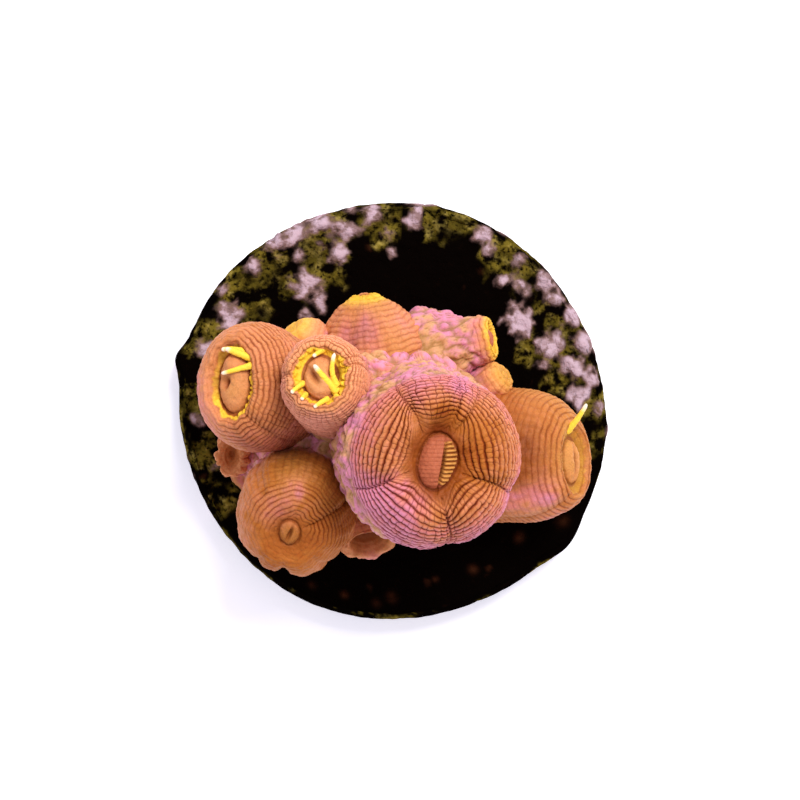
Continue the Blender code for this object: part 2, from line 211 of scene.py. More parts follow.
POLYPS = {
    "tall_polyp": Polyp(
        root=(1.2, -2.0, 5.3), bend=(1.9, -2.9, 16.5), crown=(3.35, -3.7, 26.9),
        across=(6.35, 6.35), stalk=6.3, drop=5.4, lobes=0.50,
        mouth=(1.75, 2.25), dip=1.15, shift=(-0.14, 0.08),
        cone=(1.31, 2.00), cone_rise=0.90, teardrop=1.0, lips=True,
        marks=((0.36, -0.12, 1.55, 0.10, 81.0, -0.55),),
        creases=(57.6, 71.6, 116.6, 199.3, 280.5, 338.4),
        crease_marks=(0.45, 0.45, 0.80, 0.95, 0.85, 0.95),
        crease_starts=(1.2, 1.5, 1.95, 1.5, 1.2, 0.95),
        lobe_starts=(1.3, 1.15, 0.35, 0.0, 0.15, -0.05),
        ridges=8.2, pinch=(-0.15, 1.45, 4.6, 4.2), pinch_power=2.0, ridged=(5.0, 9.0, 155.0),
        cells=58, celled=0.46, bricks=((64.6, 9.0), (280.0, 12.0), (108.0, 10.0), (90.0, 6.0)),
        tint=(0.26, 0.30), valley_shade=0.50,
        patches=(
            (-4.2, -1.6, 2.4, 0.44), (-2.4, -4.4, 2.4, 0.42), (-1.6, 5.3, 1.5, 0.34),
            (1.7, 5.2, 1.1, 0.40), (0.2, 3.8, 1.1, -0.14), (-4.8, 2.8, 1.3, 0.14),
            (5.4, -2.4, 1.1, 0.34), (5.0, 2.2, 2.4, -0.16), (-1.7, -2.1, 1.2, 0.22),
            (2.6, -4.6, 2.0, 0.18), (-3.0, 0.9, 1.0, 0.12), (-4.8, -2.4, 1.0, 0.34),
            (-3.6, 0.2, 1.0, -0.12),
        ),
        shaded=(
            (0.1, 2.75, 0.9, 0.65), (1.9, 0.9, 0.6, 0.45), (-1.7, 1.2, 0.6, 0.25),
            (0.4, 4.2, 1.4, 0.16), (-0.9, -2.6, 0.6, 0.20), (0.9, -2.5, 0.7, 0.25),
        ),
        segments=396, rings=(40, 112, 88),
    ),
    "small_polyp": Polyp(
        root=(-3.6, 0.5, 5.3), bend=(-4.2, 1.0, 15.0), crown=(-5.0, 2.6, 23.8),
        across=(3.15, 3.25), stalk=3.3, drop=3.2, lobes=0.16, wobble=0.12,
        mouth=(1.74, 1.94), dip=0.85, rim=0.20, shift=(-0.12, -0.12), frill=0.28,
        cone=(1.16, 1.52), cone_rise=1.05, mound=(0.20, 0.40),
        marks=((-0.44, 0.0, 0.68, 0.26, 125.0, -0.50), (1.05, 0.30, 0.34, 0.40, 0.0, -0.35)),
        creases=(20.0, 33.0, 175.0),
        crease_share=0.5, ridges=7.6, pinch=(0.30, 0.45, 3.1, 3.0), ridged=(6.5, 9.0, 20.0),
        relief=0.80, contrast=0.58, waver=0.6,
        cells=44, celled=0.60, puffs=0.85, bricks=((27.0, 14.0), (175.0, 10.0)),
        tint=(0.52, 0.26), pale=0.72, gold=(1.0, 0.30, 0.22), valley_shade=0.10,
        patches=((0.4, -2.9, 1.6, 0.55), (-2.6, -0.6, 1.2, 0.20), (-2.4, 1.4, 1.4, 0.12)),
        yellowed=((0.0, 0.0, 1.3, 0.50), (1.2, -2.6, 1.0, 0.20)),
        segments=264, rings=(38, 86, 60), seed=2,
    ),
    "left_polyp": Polyp(
        root=(-6.5, 0.6, 5.3), bend=(-8.0, 1.4, 13.4), crown=(-11.6, 2.1, 19.3),
        across=(4.1, 4.65), stalk=3.9, drop=4.0, lobes=0.14, wobble=0.07,
        mouth=(1.45, 2.45), dip=1.0, rim=0.20, frill=0.26,
        cone=(1.22, 2.12), cone_rise=0.98, mound=(0.20, 0.30),
        marks=((-0.36, -0.05, 0.44, 0.30, 60.0, -0.60), (0.10, 1.30, 0.66, 0.62, 0.0, 0.42)),
        creases=(300.0,),
        crease_share=0.45, ridges=8.5, pinch=(0.3, 0.6, 4.0, 3.9), ridged=(9.0, 10.0, 0.0),
        relief=0.65, contrast=0.60, waver=0.28, faint=(170.0, 0.75),
        cells=52, celled=0.5, puffs=0.30, bricks=((318.0, 16.0),),
        tint=(0.30, 0.14), pale=0.26, gold=(0.95, 0.24, 0.22), gold_side=(-48.0, 0.6),
        valley_shade=0.15,
        patches=(
            (1.2, -4.2, 2.0, 0.24), (2.6, 1.2, 1.6, 0.10), (-2.6, -3.2, 1.6, 0.20),
            (-3.4, -0.4, 1.7, 0.42),
        ),
        yellowed=((0.2, -0.3, 1.6, 0.35),),
        shaded=((1.4, -4.2, 1.5, 0.75), (3.6, -2.6, 1.4, 0.35)),
        segments=290, rings=(42, 92, 42), seed=3,
    ),
    "front_left_polyp": Polyp(
        root=(-4.8, -4.3, 6.6), bend=(-7.2, -6.5, 12.0), crown=(-7.4, -8.8, 17.1),
        across=(4.35, 4.4), stalk=3.9, drop=3.9, lobes=0.22, wobble=0.30,
        notches=(
            (260.0, 7.0, 0.45), (246.0, 7.0, -0.12), (282.0, 15.0, -0.42), (228.0, 5.0, 0.20),
            (305.0, 8.0, 0.25),
        ),
        mouth=(0.94, 1.12), dip=0.40,
        cone=(0.76, 0.94), cone_rise=0.46, mound=(0.0, 0.05),
        marks=((0.05, -0.02, 0.66, 0.15, 65.0, -0.38), (-0.55, -3.70, 0.45, 0.30, 85.0, -0.30)),
        creases=(19.0,),
        crease_share=0.75, ridges=11.0, pinch=(0.05, 0.7, 4.4, 4.1), pinch_power=3.0,
        ridged=(6.6, 7.6, 75.0),
        relief=0.55, contrast=0.64, waver=2.5, faint=(250.0, 0.75), stripes=(85.0, 0.95),
        cells=96, celled=0.26,
        tint=(0.17, 0.03), pale=0.02, valley_shade=0.10,
        patches=(
            (0.75, 3.15, 0.40, 0.50), (0.15, 3.45, 0.34, 0.40), (-3.6, -1.8, 1.6, 0.34),
            (-0.55, -3.8, 0.5, 0.55), (-3.9, 1.2, 1.4, 0.20), (1.2, -3.6, 1.3, 0.22),
            (-1.4, 2.0, 1.5, 0.18), (-0.4, 2.1, 1.6, 0.30),
        ),
        yellowed=((0.2, 4.7, 1.9, 0.38), (3.2, 2.6, 1.2, 0.25), (0.0, 0.0, 0.9, 0.30)),
        shaded=(
            (3.2, 1.2, 0.9, 0.40), (2.0, 1.6, 1.0, 0.15), (0.0, 0.0, 1.1, 0.25),
            (-0.3, 2.2, 2.0, 0.30), (-1.4, -0.8, 2.6, 0.16),
        ),
        segments=290, rings=(30, 96, 44), seed=4,
    ),
    "right_polyp": Polyp(
        root=(3.8, -2.6, 9.6), bend=(9.3, -3.6, 10.4), crown=(13.4, -3.15, 13.2),
        across=(4.4, 4.9), stalk=5.2, drop=4.8, wobble=0.12,
        mouth=(1.35, 2.05), dip=0.7, rim=0.16, shift=(0.0, -0.45), frill=0.08,
        cone=(1.02, 1.62), cone_rise=0.62, mound=(0.0, 0.25),
        marks=((0.1, 0.0, 1.0, 0.22, 90.0, -0.50),),
        creases=(255.0,),
        crease_share=0.3, ridges=9.0, pinch=(0.3, 0.6, 4.6, 4.5), ridged=(10.0, 10.0, 0.0),
        relief=0.40, contrast=0.50, waver=0.6, stripes=(180.0, 0.7),
        cells=58, celled=0.24,
        tint=(0.30, -0.12), pale=0.12, gold=(0.24, 0.26, 0.22), gold_side=(-90.0, 0.2),
        patches=(
            (-2.2, -3.3, 0.8, 0.50), (-3.6, -2.9, 0.9, 0.50), (0.4, -4.6, 1.5, 0.36),
            (-3.9, 2.2, 1.6, 0.08), (-2.9, -1.6, 1.3, 0.16),
        ),
        yellowed=(
            (0.6, 4.6, 2.0, 0.40), (-0.9, 1.9, 0.7, 0.60), (0.3, -2.3, 0.6, 0.40),
            (-1.6, 0.0, 0.9, 0.30), (0.0, 0.0, 1.9, 0.50),
        ),
        shaded=((-4.5, 0.6, 1.5, 0.90), (-4.3, -1.6, 1.3, 0.70), (-4.5, 2.6, 1.4, 0.40)),
        segments=280, rings=(30, 92, 44), seed=5,
    ),
    "back_polyp": Polyp(
        root=(-1.0, 1.5, 8.6), bend=(-1.6, 4.3, 12.1), crown=(-2.1, 8.8, 12.3),
        across=(4.3, 3.7), stalk=4.0, drop=3.6, point=0.95, flare=0.25, wobble=0.55,
        mouth=(0.72, 0.50), dip=0.40, frill=0.12,
        cone=(0.46, 0.28), cone_rise=0.26, mound=(0.3, 0.2),
        marks=((0.0, 0.0, 0.32, 0.10, 8.0, -0.20),),
        pinch=(0.1, 0.3, 3.8, 3.7), ridged=(5.0, 6.0, 90.0),
        relief=0.40, contrast=0.34,
        cells=44, celled=0.5,
        tint=(0.34, 0.06), pale=0.26, gold=(0.80, 0.35, 1.1),
        patches=((0.2, -2.7, 0.9, 0.55), (-1.4, -2.7, 0.9, 0.50), (2.8, -1.4, 1.0, 0.15)),
        yellowed=((0.6, -1.0, 1.0, 0.45), (2.6, -3.2, 1.4, 0.28), (-0.6, -4.2, 1.4, 0.28)),
        shaded=(
            (0.2, -2.7, 1.0, 0.46), (-1.4, -2.7, 0.9, 0.42), (2.8, -3.2, 1.2, 0.08),
            (-0.4, -4.4, 1.3, 0.14),
        ),
        segments=220, rings=(18, 60, 40), seed=6,
    ),
    "back_right_polyp": Polyp(
        root=(1.6, 4.0, 9.6), bend=(4.6, 4.8, 11.8), crown=(7.4, 5.4, 12.4),
        across=(1.75, 1.75), stalk=2.6, drop=1.4, flare=0.35, wobble=0.22,
        mouth=(1.10, 1.10), dip=0.6, frill=0.08,
        cone=(0.7, 0.75), cone_rise=0.50,
        marks=((0.0, 0.0, 0.30, 0.14, 60.0, -0.25),),
        ridges=4.0, pinch=(0.1, 0.2, 1.8, 1.8), ridged=(0.7, 1.0, 90.0),
        relief=0.5, contrast=0.3,
        cells=22, celled=0.25,
        tint=(0.45, 0.20), pale=0.2, gold=(0.75, 0.45, 0.6),
        segments=170, rings=(20, 40, 36), seed=7,
    ),
    "back_left_bud": Polyp(
        root=(-4.2, 2.8, 8.0), bend=(-5.8, 4.3, 11.8), crown=(-7.5, 6.2, 12.5),
        across=(1.9, 1.8), stalk=2.2, drop=1.8, point=0.6, flare=0.6, wobble=0.26,
        mouth=(0.6, 0.6), dip=0.4,
        cone=(0.40, 0.40), cone_rise=0.05, golden_mound=True,
        ridges=4.0, pinch=(0.1, 0.2, 1.9, 1.9), ridged=(2.0, 2.0, 90.0),
        relief=0.3, contrast=0.08,
        cells=20, celled=0.10,
        tint=(0.34, 0.15), pale=0.70, gold=(0.50, 0.5, 1.3), valley_shade=0.05,
        segments=120, rings=(12, 30, 26), seed=8, slot="golden_tissue",
    ),
    "right_bud": Polyp(
        root=(5.4, 0.6, 9.0), bend=(6.9, 1.8, 12.0), crown=(8.3, 2.8, 12.6),
        across=(1.3, 1.3), stalk=1.8, drop=1.2, point=0.4, flare=0.6, wobble=0.22,
        mouth=(0.5, 0.5), dip=0.3,
        cone=(0.35, 0.35), cone_rise=0.15, golden_mound=True,
        ridges=3.0, pinch=(0.1, 0.2, 1.4, 1.4), ridged=(1.4, 1.4, 90.0),
        relief=0.3, contrast=0.08,
        cells=16, celled=0.1,
        tint=(0.34, 0.15), pale=0.55, gold=(0.34, 0.3, 1.3),
        segments=100, rings=(10, 26, 24), seed=9, slot="golden_tissue",
    ),
    "front_bud": Polyp(
        root=(-2.6, -6.0, 6.4), bend=(-2.3, -8.2, 8.0), crown=(-1.6, -10.0, 10.0),
        across=(2.4, 1.9), stalk=2.2, drop=1.5, flare=0.6, wobble=0.34,
        mouth=(1.10, 0.80), dip=1.15, shift=(-0.1, 0.35),
        cone=(0.6, 0.5), cone_rise=0.05, mound=(0.0, 0.0),
        marks=((0.0, 0.1, 0.8, 0.6, 0.0, -0.45),),
        ridges=4.0, pinch=(0.1, 0.2, 2.0, 2.0), ridged=(3.0, 3.0, 90.0),
        relief=0.35, contrast=0.06,
        cells=22, celled=0.10,
        tint=(0.34, 0.20), pale=0.30,
        patches=((0.2, -1.9, 1.0, 0.36),),
        yellowed=((1.8, 0.6, 1.0, 0.35),),
        segments=140, rings=(16, 32, 26), seed=10,
    ),
    "side_cup": Polyp(
        root=(-10.4, -2.6, 5.2), bend=(-11.4, -3.1, 6.6), crown=(-12.1, -3.4, 8.9),
        across=(1.30, 1.70), stalk=1.5, drop=1.0, flare=0.9, wobble=0.42,
        mouth=(0.50, 0.85), dip=0.60, rim=0.6,
        cone=(0.4, 0.5), cone_rise=0.05, mound=(0.0, 0.0),
        marks=((0.0, 0.1, 0.5, 0.3, 75.0, -0.35),),
        ridges=3.0, pinch=(0.1, 0.2, 1.4, 1.4), ridged=(1.2, 1.2, 90.0),
        relief=0.3, contrast=0.06,
        cells=16, celled=0.1,
        tint=(0.34, 0.20), pale=0.58, valley_shade=0.12,
        segments=120, rings=(14, 26, 26), seed=11, solid=False,
    ),
}

# Each tentacle: its points beside the crown of its polyp (x, y, up), base to tip, and the
# radii of its base and tip.
TENTACLES = {
    "small_polyp": (
        (((1.05, -1.10, -0.75), (0.35, -0.35, 0.15), (-0.46, 0.63, 0.45)), (0.33, 0.15)),
        (((1.15, -0.70, -0.60), (0.55, 0.05, 0.10), (1.00, 1.46, 0.35)), (0.26, 0.13)),
        (((0.05, 1.85, -0.60), (-0.15, 1.60, 0.05), (-0.53, 1.24, 0.25)), (0.24, 0.13)),
        (((-1.30, -0.50, -0.60), (-1.60, -0.85, 0.10), (-2.07, -1.32, 0.10)), (0.24, 0.12)),
        (((0.45, -1.65, -0.50), (0.10, -1.95, 0.15), (-0.46, -2.34, 0.05)), (0.24, 0.13)),
        (((-1.15, -1.30, -0.70), (-1.25, -1.55, -0.05), (-1.30, -1.80, 0.10)), (0.26, 0.12)),
    ),
    "left_polyp": (
        (((1.45, 1.75, -0.60), (0.80, 2.00, 0.20), (-0.10, 2.35, 0.45)), (0.34, 0.16)),
        (((1.10, 2.15, -0.60), (0.30, 2.45, 0.10), (-0.55, 2.30, 0.30)), (0.28, 0.14)),
        (((1.60, 1.20, -0.50), (0.75, 0.85, 0.25), (-0.35, 0.55, 0.50)), (0.28, 0.13)),
    ),
    "right_polyp": (
        (((-0.35, 1.75, -0.60), (-0.55, 2.30, 0.45), (-0.30, 3.60, 1.25)), (0.34, 0.13)),
    ),
}


def smooth_step(value):
    value = np.clip(value, 0.0, 1.0)
    return value * value * (3.0 - 2.0 * value)


def rise(value, start, width):
    """0 up to the start, then smoothly up to 1 over this width."""
    return smooth_step((value - start) / width)


def bell(value, width):
    """1 where the value is 0, fading to both sides over this width."""
    return np.exp(-((value / width) ** 2))


def off_line(phase):
    """How far the phase is from a half: 0 at a half, 1 where it is whole."""
    return np.abs(np.mod(phase, 1.0) - 0.5) * 2.0


def facing(turn, heading):
    """1 on the side that faces the heading, 0 on the far side."""
    return 0.5 + 0.5 * np.cos(np.radians(turn - heading))


def circle_of(angle):
    return np.stack((np.cos(angle), np.sin(angle), np.zeros_like(angle)), axis=-1)


def turn_between(a, b):
    """The smallest angle between headings, in degrees."""
    return np.abs((a - b + 180.0) % 360.0 - 180.0)


LATTICE = np.random.RandomState(11)
SHUFFLED = LATTICE.permutation(256)
SLOPES = LATTICE.normal(size=(256, 3))
SLOPES /= np.linalg.norm(SLOPES, axis=1)[:, None]


def unevenness(points, size, seed=0):
    """Smooth natural noise, about -1 to 1, with lumps of this size in millimetres."""
    cell = points / size + 17.31 * seed
    low = np.floor(cell).astype(np.int64)
    part = cell - low
    fade = part**3 * (part * (part * 6.0 - 15.0) + 10.0)
    total = np.zeros(points.shape[:-1])
    for corner in itertools.product((0, 1), repeat=3):
        key = 0
        weight = 1.0
        for axis in range(3):
            key = SHUFFLED[(key + low[..., axis] + corner[axis]) & 255]
            weight = weight * (fade[..., axis] if corner[axis] else 1.0 - fade[..., axis])
        total += weight * np.sum(SLOPES[key] * (part - np.array(corner)), axis=-1)
    return 1.6 * total


def lumps(points, size, seed, power=0.8):
    """Round lumps of this size, parted by narrow grooves: 0 in the grooves."""
    return np.abs(unevenness(points, size, seed)) ** power


def wrapped(name, collection, grid, layers):
    """A closed skin over a grid of points, rings by segments, with layers of marks.

    The first and last rings are its poles.
    """
    rings, segments = grid.shape[:2]

    def skin_order(values):
        return np.concatenate((values[:1, 0], values[1:-1].reshape(-1, *values.shape[2:]),
                               values[-1:, 0]))

    first = 1 + np.arange((rings - 2) * segments).reshape(rings - 2, segments)
    after = np.roll(first, -1, axis=1)
    quads = np.stack((first[:-1], first[1:], after[1:], after[:-1]), axis=-1).reshape(-1, 4)
    last = (rings - 2) * segments + 1
    top = np.stack((np.zeros(segments, int), first[0], after[0]), axis=-1)
    bottom = np.stack((np.full(segments, last), after[-1], first[-1]), axis=-1)
    mesh = bpy.data.meshes.new(name)
    faces = quads.tolist() + top.tolist() + bottom.tolist()
    mesh.from_pydata((skin_order(grid) * MM).tolist(), [], faces)
    for layer, values in layers.items():
        marks = mesh.attributes.new(layer, "FLOAT", "POINT")
        values = skin_order(np.broadcast_to(values, grid.shape[:2]))
        marks.data.foreach_set("value", values.astype(np.float32))
    mesh.shade_smooth()
    mesh.update()
    made = bpy.data.objects.new(name, mesh)
    collection.objects.link(made)
    return made


def outward(grid):
    """Unit normals of a grid of points whose rings run outwards and down from the top."""
    along = np.gradient(grid, axis=0)
    around = np.roll(grid, -1, axis=1) - np.roll(grid, 1, axis=1)
    normal = np.cross(along, around)
    return normal / np.maximum(np.linalg.norm(normal, axis=2, keepdims=True), 1e-9)


def raised(grid, height):
    """The grid moved along its normals, with its poles in the middle of the next rings."""
    made = grid + outward(grid) * height[..., None]
    made[0] = made[1].mean(axis=0)
    made[-1] = made[-2].mean(axis=0)
    return made


def oval(radii, turn):
    """The radius of an oval on each heading."""
    angle = np.radians(turn)
    return 1.0 / np.hypot(np.cos(angle) / radii[0], np.sin(angle) / radii[1])


def on_axis(polyp, below, beside):
    """Points beside the polyp's bent axis, this far below its crown. beside is x, y, up."""
    root, bend, crown = (np.array(point) for point in (polyp.root, polyp.bend, polyp.crown))
    length = np.linalg.norm(crown - root)
    along = (1.0 - below / length)[..., None]
    held = np.minimum(along, 1.0)
    low, high = root + (bend - root) * held, bend + (crown - bend) * held
    centre = low + (high - low) * held
    tip = (crown - bend) / np.linalg.norm(crown - bend)
    centre = centre + tip * np.maximum(along - 1.0, 0.0) * length
    tangent = (bend - root) + ((crown - bend) - (bend - root)) * held
    tangent /= np.linalg.norm(tangent, axis=-1, keepdims=True)
    # The smallest turn that takes +Z to the tangent.
    pivot = np.stack((-tangent[..., 1], tangent[..., 0], np.zeros(tangent.shape[:-1])), axis=-1)
    once = np.cross(pivot, beside)
    twice = np.cross(pivot, once)
    return centre + beside + once + twice / (1.0 + tangent[..., 2:3])


def between_creases(polyp, turn):
    """The lobe that each heading is on, and its place across it, 0 to 1."""
    if not polyp.creases:
        return np.zeros(turn.shape, int), np.full_like(turn, 0.5)
    starts = np.array(sorted(polyp.creases))
    lobe = np.searchsorted(starts, turn % 360.0, side="right") - 1
    lobe %= len(starts)
    width = (starts[(lobe + 1) % len(starts)] - starts[lobe]) % 360.0
    width = np.where(width == 0.0, 360.0, width)
    return lobe, ((turn - starts[lobe]) % 360.0) / width


def mark_height(x, y, mark):
    """An oval hollow or knob beside the mouth."""
    mark_x, mark_y, length, width, heading, height = mark
    angle = math.radians(heading)
    along = (x - mark_x) * math.cos(angle) + (y - mark_y) * math.sin(angle)
    side = (y - mark_y) * math.cos(angle) - (x - mark_x) * math.sin(angle)
    return height * np.exp(-((np.hypot(along / length, side / width)) ** 2.5))


def patched(table, x, y, ragged):
    """How much each point is covered by a table of patches: x, y, reach and amount."""
    total = 0.0 * ragged
    for patch_x, patch_y, reach, amount in table:
        off = np.hypot(x - patch_x, y - patch_y) + 0.3 * reach * ragged
        total += amount * bell(off, reach)
    return total


class PolypSkin:
    """The skin of one polyp: a grid of points from its mouth to its root, and its marks.

    Each step works out one kind of feature for every point, in rings by segments:
    station is the ring's place (0 in the middle of the mouth, 1 on its edge, 2 where the
    dome ends, 3 at the root), turn the heading, out the distance from the axis, and along
    the distance over the skin from the edge of the mouth.
    """

    def __init__(self, polyp):
        self.polyp = polyp
        self.sizes = bpy.context.scene.coral_sizes
        self.lay_out()
        self.form_shape()
        self.run_ridges()
        self.part_cells()
        self.cut_creases()
        self.raise_skin()

    def lay_out(self):
        polyp = self.polyp
        oral, dome, flank = polyp.rings
        self.station = np.concatenate((
            np.linspace(0.0, 1.0, oral, endpoint=False),
            1.0 + np.linspace(0.0, 1.0, dome, endpoint=False),
            2.0 + np.linspace(0.0, 1.0, flank),
        ))[:, None]
        self.turn = (np.arange(polyp.segments) * 360.0 / polyp.segments)[None, :]
        self.angle = np.radians(self.turn)
        self.circle = circle_of(self.angle)
        self.lobe, self.across = between_creases(polyp, self.turn)
        self.edge = np.abs(2.0 * self.across - 1.0)
        wide = sum(bell(turn_between(self.turn, c), CREASE_SPREAD) for c in polyp.creases)
        self.wide_crease = np.minimum(wide + np.zeros_like(self.turn), 1.0)

    def form_shape(self):
        """The bare shape: the mouth's valley and mound, the dome, and the flank."""
        polyp, station, circle = self.polyp, self.station, self.circle
        cone = oval(polyp.cone, self.turn)
        skew = 0.10 * np.cos(2.0 * (self.angle - 0.61)) + 0.07 * np.cos(self.angle - 0.70)
        cone = cone * (1.0 + polyp.teardrop * skew)
        ragged = 1.0 + 0.13 * polyp.gold[0] * unevenness(circle * 4.0, 1.0, polyp.seed)
        mouth = oval(polyp.mouth, self.turn) * ragged
        widest = oval(polyp.across, self.turn) * (1.0 - 0.05 * self.wide_crease)
        widest = widest + polyp.wobble * (
            unevenness(circle * 2.2, 1.0, polyp.seed + 8)
            + 0.5 * unevenness(circle * 5.0, 1.0, polyp.seed)
        )
        for heading, width, depth in polyp.notches:
            widest = widest - depth * bell(turn_between(self.turn, heading), width)
        length = np.linalg.norm(np.array(polyp.crown) - np.array(polyp.root))

        oral_out = mouth * np.clip(station, 0.0, 1.0)
        on_cone = np.clip(oral_out / cone, 0.0, 1.0)
        oral_below = polyp.dip - polyp.cone_rise * (1.0 - on_cone**2.6) ** 0.6
        beyond = np.clip((oral_out - cone) / np.maximum(mouth - cone, 0.05), 0.0, 1.0)
        oral_below -= 0.2 * polyp.dip * beyond**2

        share = np.clip(station - 1.0, 0.0, 1.0)
        slope = share * math.pi / 2.0
        dome_out = mouth + (widest - mouth) * np.sin(slope)
        dome_below = polyp.drop * (1.0 - np.cos(slope)) * (1.0 - polyp.point)
        dome_below = dome_below + polyp.point * polyp.drop * np.sin(slope) ** 1.25
        dome_below = dome_below + 0.8 * polyp.dip * (1.0 - smooth_step(share / polyp.rim))
        fade = np.sin(math.pi * np.minimum(share * 1.4, 1.0))
        dome_below = dome_below + 0.40 * polyp.crease_share * self.wide_crease * fade
        dome_below = dome_below - polyp.lobes * (1.0 - self.edge**2.0) * fade

        down = np.clip(station - 2.0, 0.0, 1.0)
        flank_out = widest + (polyp.stalk - widest) * smooth_step(down * 1.6)
        flank_out = flank_out * (1.0 + polyp.flare * rise(down, 0.3, 0.6))
        flank_out = flank_out * np.sqrt(np.maximum(1.0 - down**14, 0.0))
        flank_below = polyp.drop + (length - polyp.drop) * down

        in_mouth, on_dome = station < 1.0, station < 2.0
        out = np.where(in_mouth, oral_out, np.where(on_dome, dome_out, flank_out))
        below = np.where(in_mouth, oral_below, np.where(on_dome, dome_below, flank_below))
        shifted = 1.0 - rise(station, 1.0, 0.6)
        beside = circle * out[..., None]
        beside[..., 0] += polyp.shift[0] * shifted
        beside[..., 1] += polyp.shift[1] * shifted
        self.bare = on_axis(polyp, below, beside)
        self.cone, self.mouth, self.out = cone, mouth, out
        self.mouth_x, self.mouth_y = out * np.cos(self.angle), out * np.sin(self.angle)
        steps = np.linalg.norm(np.diff(self.bare, axis=0), axis=2)
        along = np.concatenate((np.zeros((1, polyp.segments)), np.cumsum(steps, axis=0)))
        self.along = along - along[polyp.rings[0]]

    def run_ridges(self):
        """Ridges round the mouth, pinched together at the creases, and where they end."""
        polyp, along, bare, turn = self.polyp, self.along, self.bare, self.turn
        near = self.edge**polyp.pinch_power
        creases = max(len(polyp.creases), 1)
        lobe_start = np.array(polyp.lobe_starts or (polyp.pinch[0],) * creases)[self.lobe]
        starts = np.array(polyp.crease_starts or (polyp.pinch[1],) * creases)
        before, after = starts[self.lobe], starts[(self.lobe + 1) % creases]
        self.crease_start = before * (1.0 - self.across) + after * self.across
        start = lobe_start + (self.crease_start - lobe_start) * near
        shoulder = polyp.pinch[2] + (polyp.pinch[3] - polyp.pinch[2]) * near
        ridge = polyp.ridges * (along - start) / (shoulder - start)
        self.wander = self.circle * 3.0 + np.stack(
            (0 * along, 0 * along, 0.55 * along), axis=-1
        )
        wavering = 0.36 * unevenness(self.wander, 2.2, polyp.seed)
        ridge += polyp.waver * (wavering + 0.12 * unevenness(self.wander, 0.8, 3))
        ridge += 0.10 * unevenness(bare, 0.55, polyp.seed) + 0.07 * unevenness(bare, 0.26, 5)
        ridge += 0.37 * self.lobe
        self.ridge = ridge
        self.furrow = off_line(ridge)

        bare_near, bare_far, bare_heading = polyp.ridged
        bare_side = smooth_step(0.5 + 0.9 * np.cos(np.radians(turn - bare_heading)))
        last = bare_far + (bare_near - bare_far) * bare_side
        last = last + 0.6 * unevenness(self.circle * 2.0, 0.7, polyp.seed + 2)
        self.flank = rise(along, last, 1.3)
        ridged = smooth_step((along - start + 0.55) / 0.9)
        ridged = np.maximum(ridged, 0.20 * smooth_step(along / 0.4)) * (1.0 - self.flank)
        strength = 0.88 + 0.38 * unevenness(bare, 1.7, polyp.seed + 9)
        faint = rise(facing(turn, polyp.faint[0]), 0.25, 0.5)
        strength = strength * (1.0 - polyp.faint[1] * faint)
        striped = polyp.stripes[1] * rise(facing(turn, polyp.stripes[0]), 0.45, 0.4)
        striped = striped * rise(along, 0.50 * polyp.pinch[2], 1.4) * (self.station < 2.9)
        self.striped = striped
        self.ridged = np.clip(ridged * strength * (1.0 - 0.8 * striped), 0.0, 1.0)

    def part_cells(self):
        """Cross lines that part the ridges into cells, puffed up round the mouth."""
        polyp = self.polyp
        cell = polyp.cells * self.turn / 360.0
        cell = cell + 0.40 * unevenness(self.wander, 0.8, polyp.seed + 1)
        self.cell = cell + 0.30 * unevenness(self.wander, 0.35, polyp.seed + 2)
        patch = smooth_step(0.5 + 0.9 * unevenness(self.bare, 2.2, polyp.seed + 3))
        bricks = sum(bell(turn_between(self.turn, h), w) for h, w in polyp.bricks)
        self.off_cone = rise(self.out, self.cone, 0.15)
        self.puffed = polyp.puffs * bell(self.along - 0.62, 0.42) * self.off_cone
        celled = np.minimum(polyp.celled * (0.35 + 1.1 * patch) + 0.6 * bricks, 1.0)
        self.celled = self.ridged * np.maximum(celled, self.puffed)

    def cut_creases(self):
        """Sharp beaded creases between the lobes."""
        polyp, along = self.polyp, self.along
        gap = 0
        for mark, c in zip(polyp.crease_marks or (1.0,) * len(polyp.creases), polyp.creases):
            off = self.out * np.radians(turn_between(self.turn, c + 1.6 * np.sin(along + c)))
            gap = gap + mark * bell(off, CREASE_WIDTH)
        crease = np.clip(gap + 0.0 * along, 0.0, 1.0) * (0.55 + 0.45 * self.furrow)
        inner = 0.45 * rise(along, 0.05, 0.3)
        outer = smooth_step((along - self.crease_start + 0.35) / 0.5)
        self.crease = crease * np.maximum(outer, inner) * (1.0 - self.flank)

    def lips(self):
        """The slit of the tall polyp's mouth, with a row of short fingers along one side."""
        if not self.polyp.lips:
            return 0.0 * self.along, 0.0
        x, y = self.mouth_x, self.mouth_y
        finger = np.abs(np.cos(math.pi * y / LIP_SPACING))
        beside_slit = x - 0.40 - 0.15 * y + 0.03 * y**2 + 0.15 * finger
        lip = rise(beside_slit, 0.02, 0.10) * (self.station < 1.0)
        lip = lip * smooth_step((self.cone - self.out - 0.06) / 0.14)
        lip = lip * smooth_step((1.62 - np.abs(y)) / 0.25)
        return lip, lip * (0.20 * finger**0.8 - 0.06)

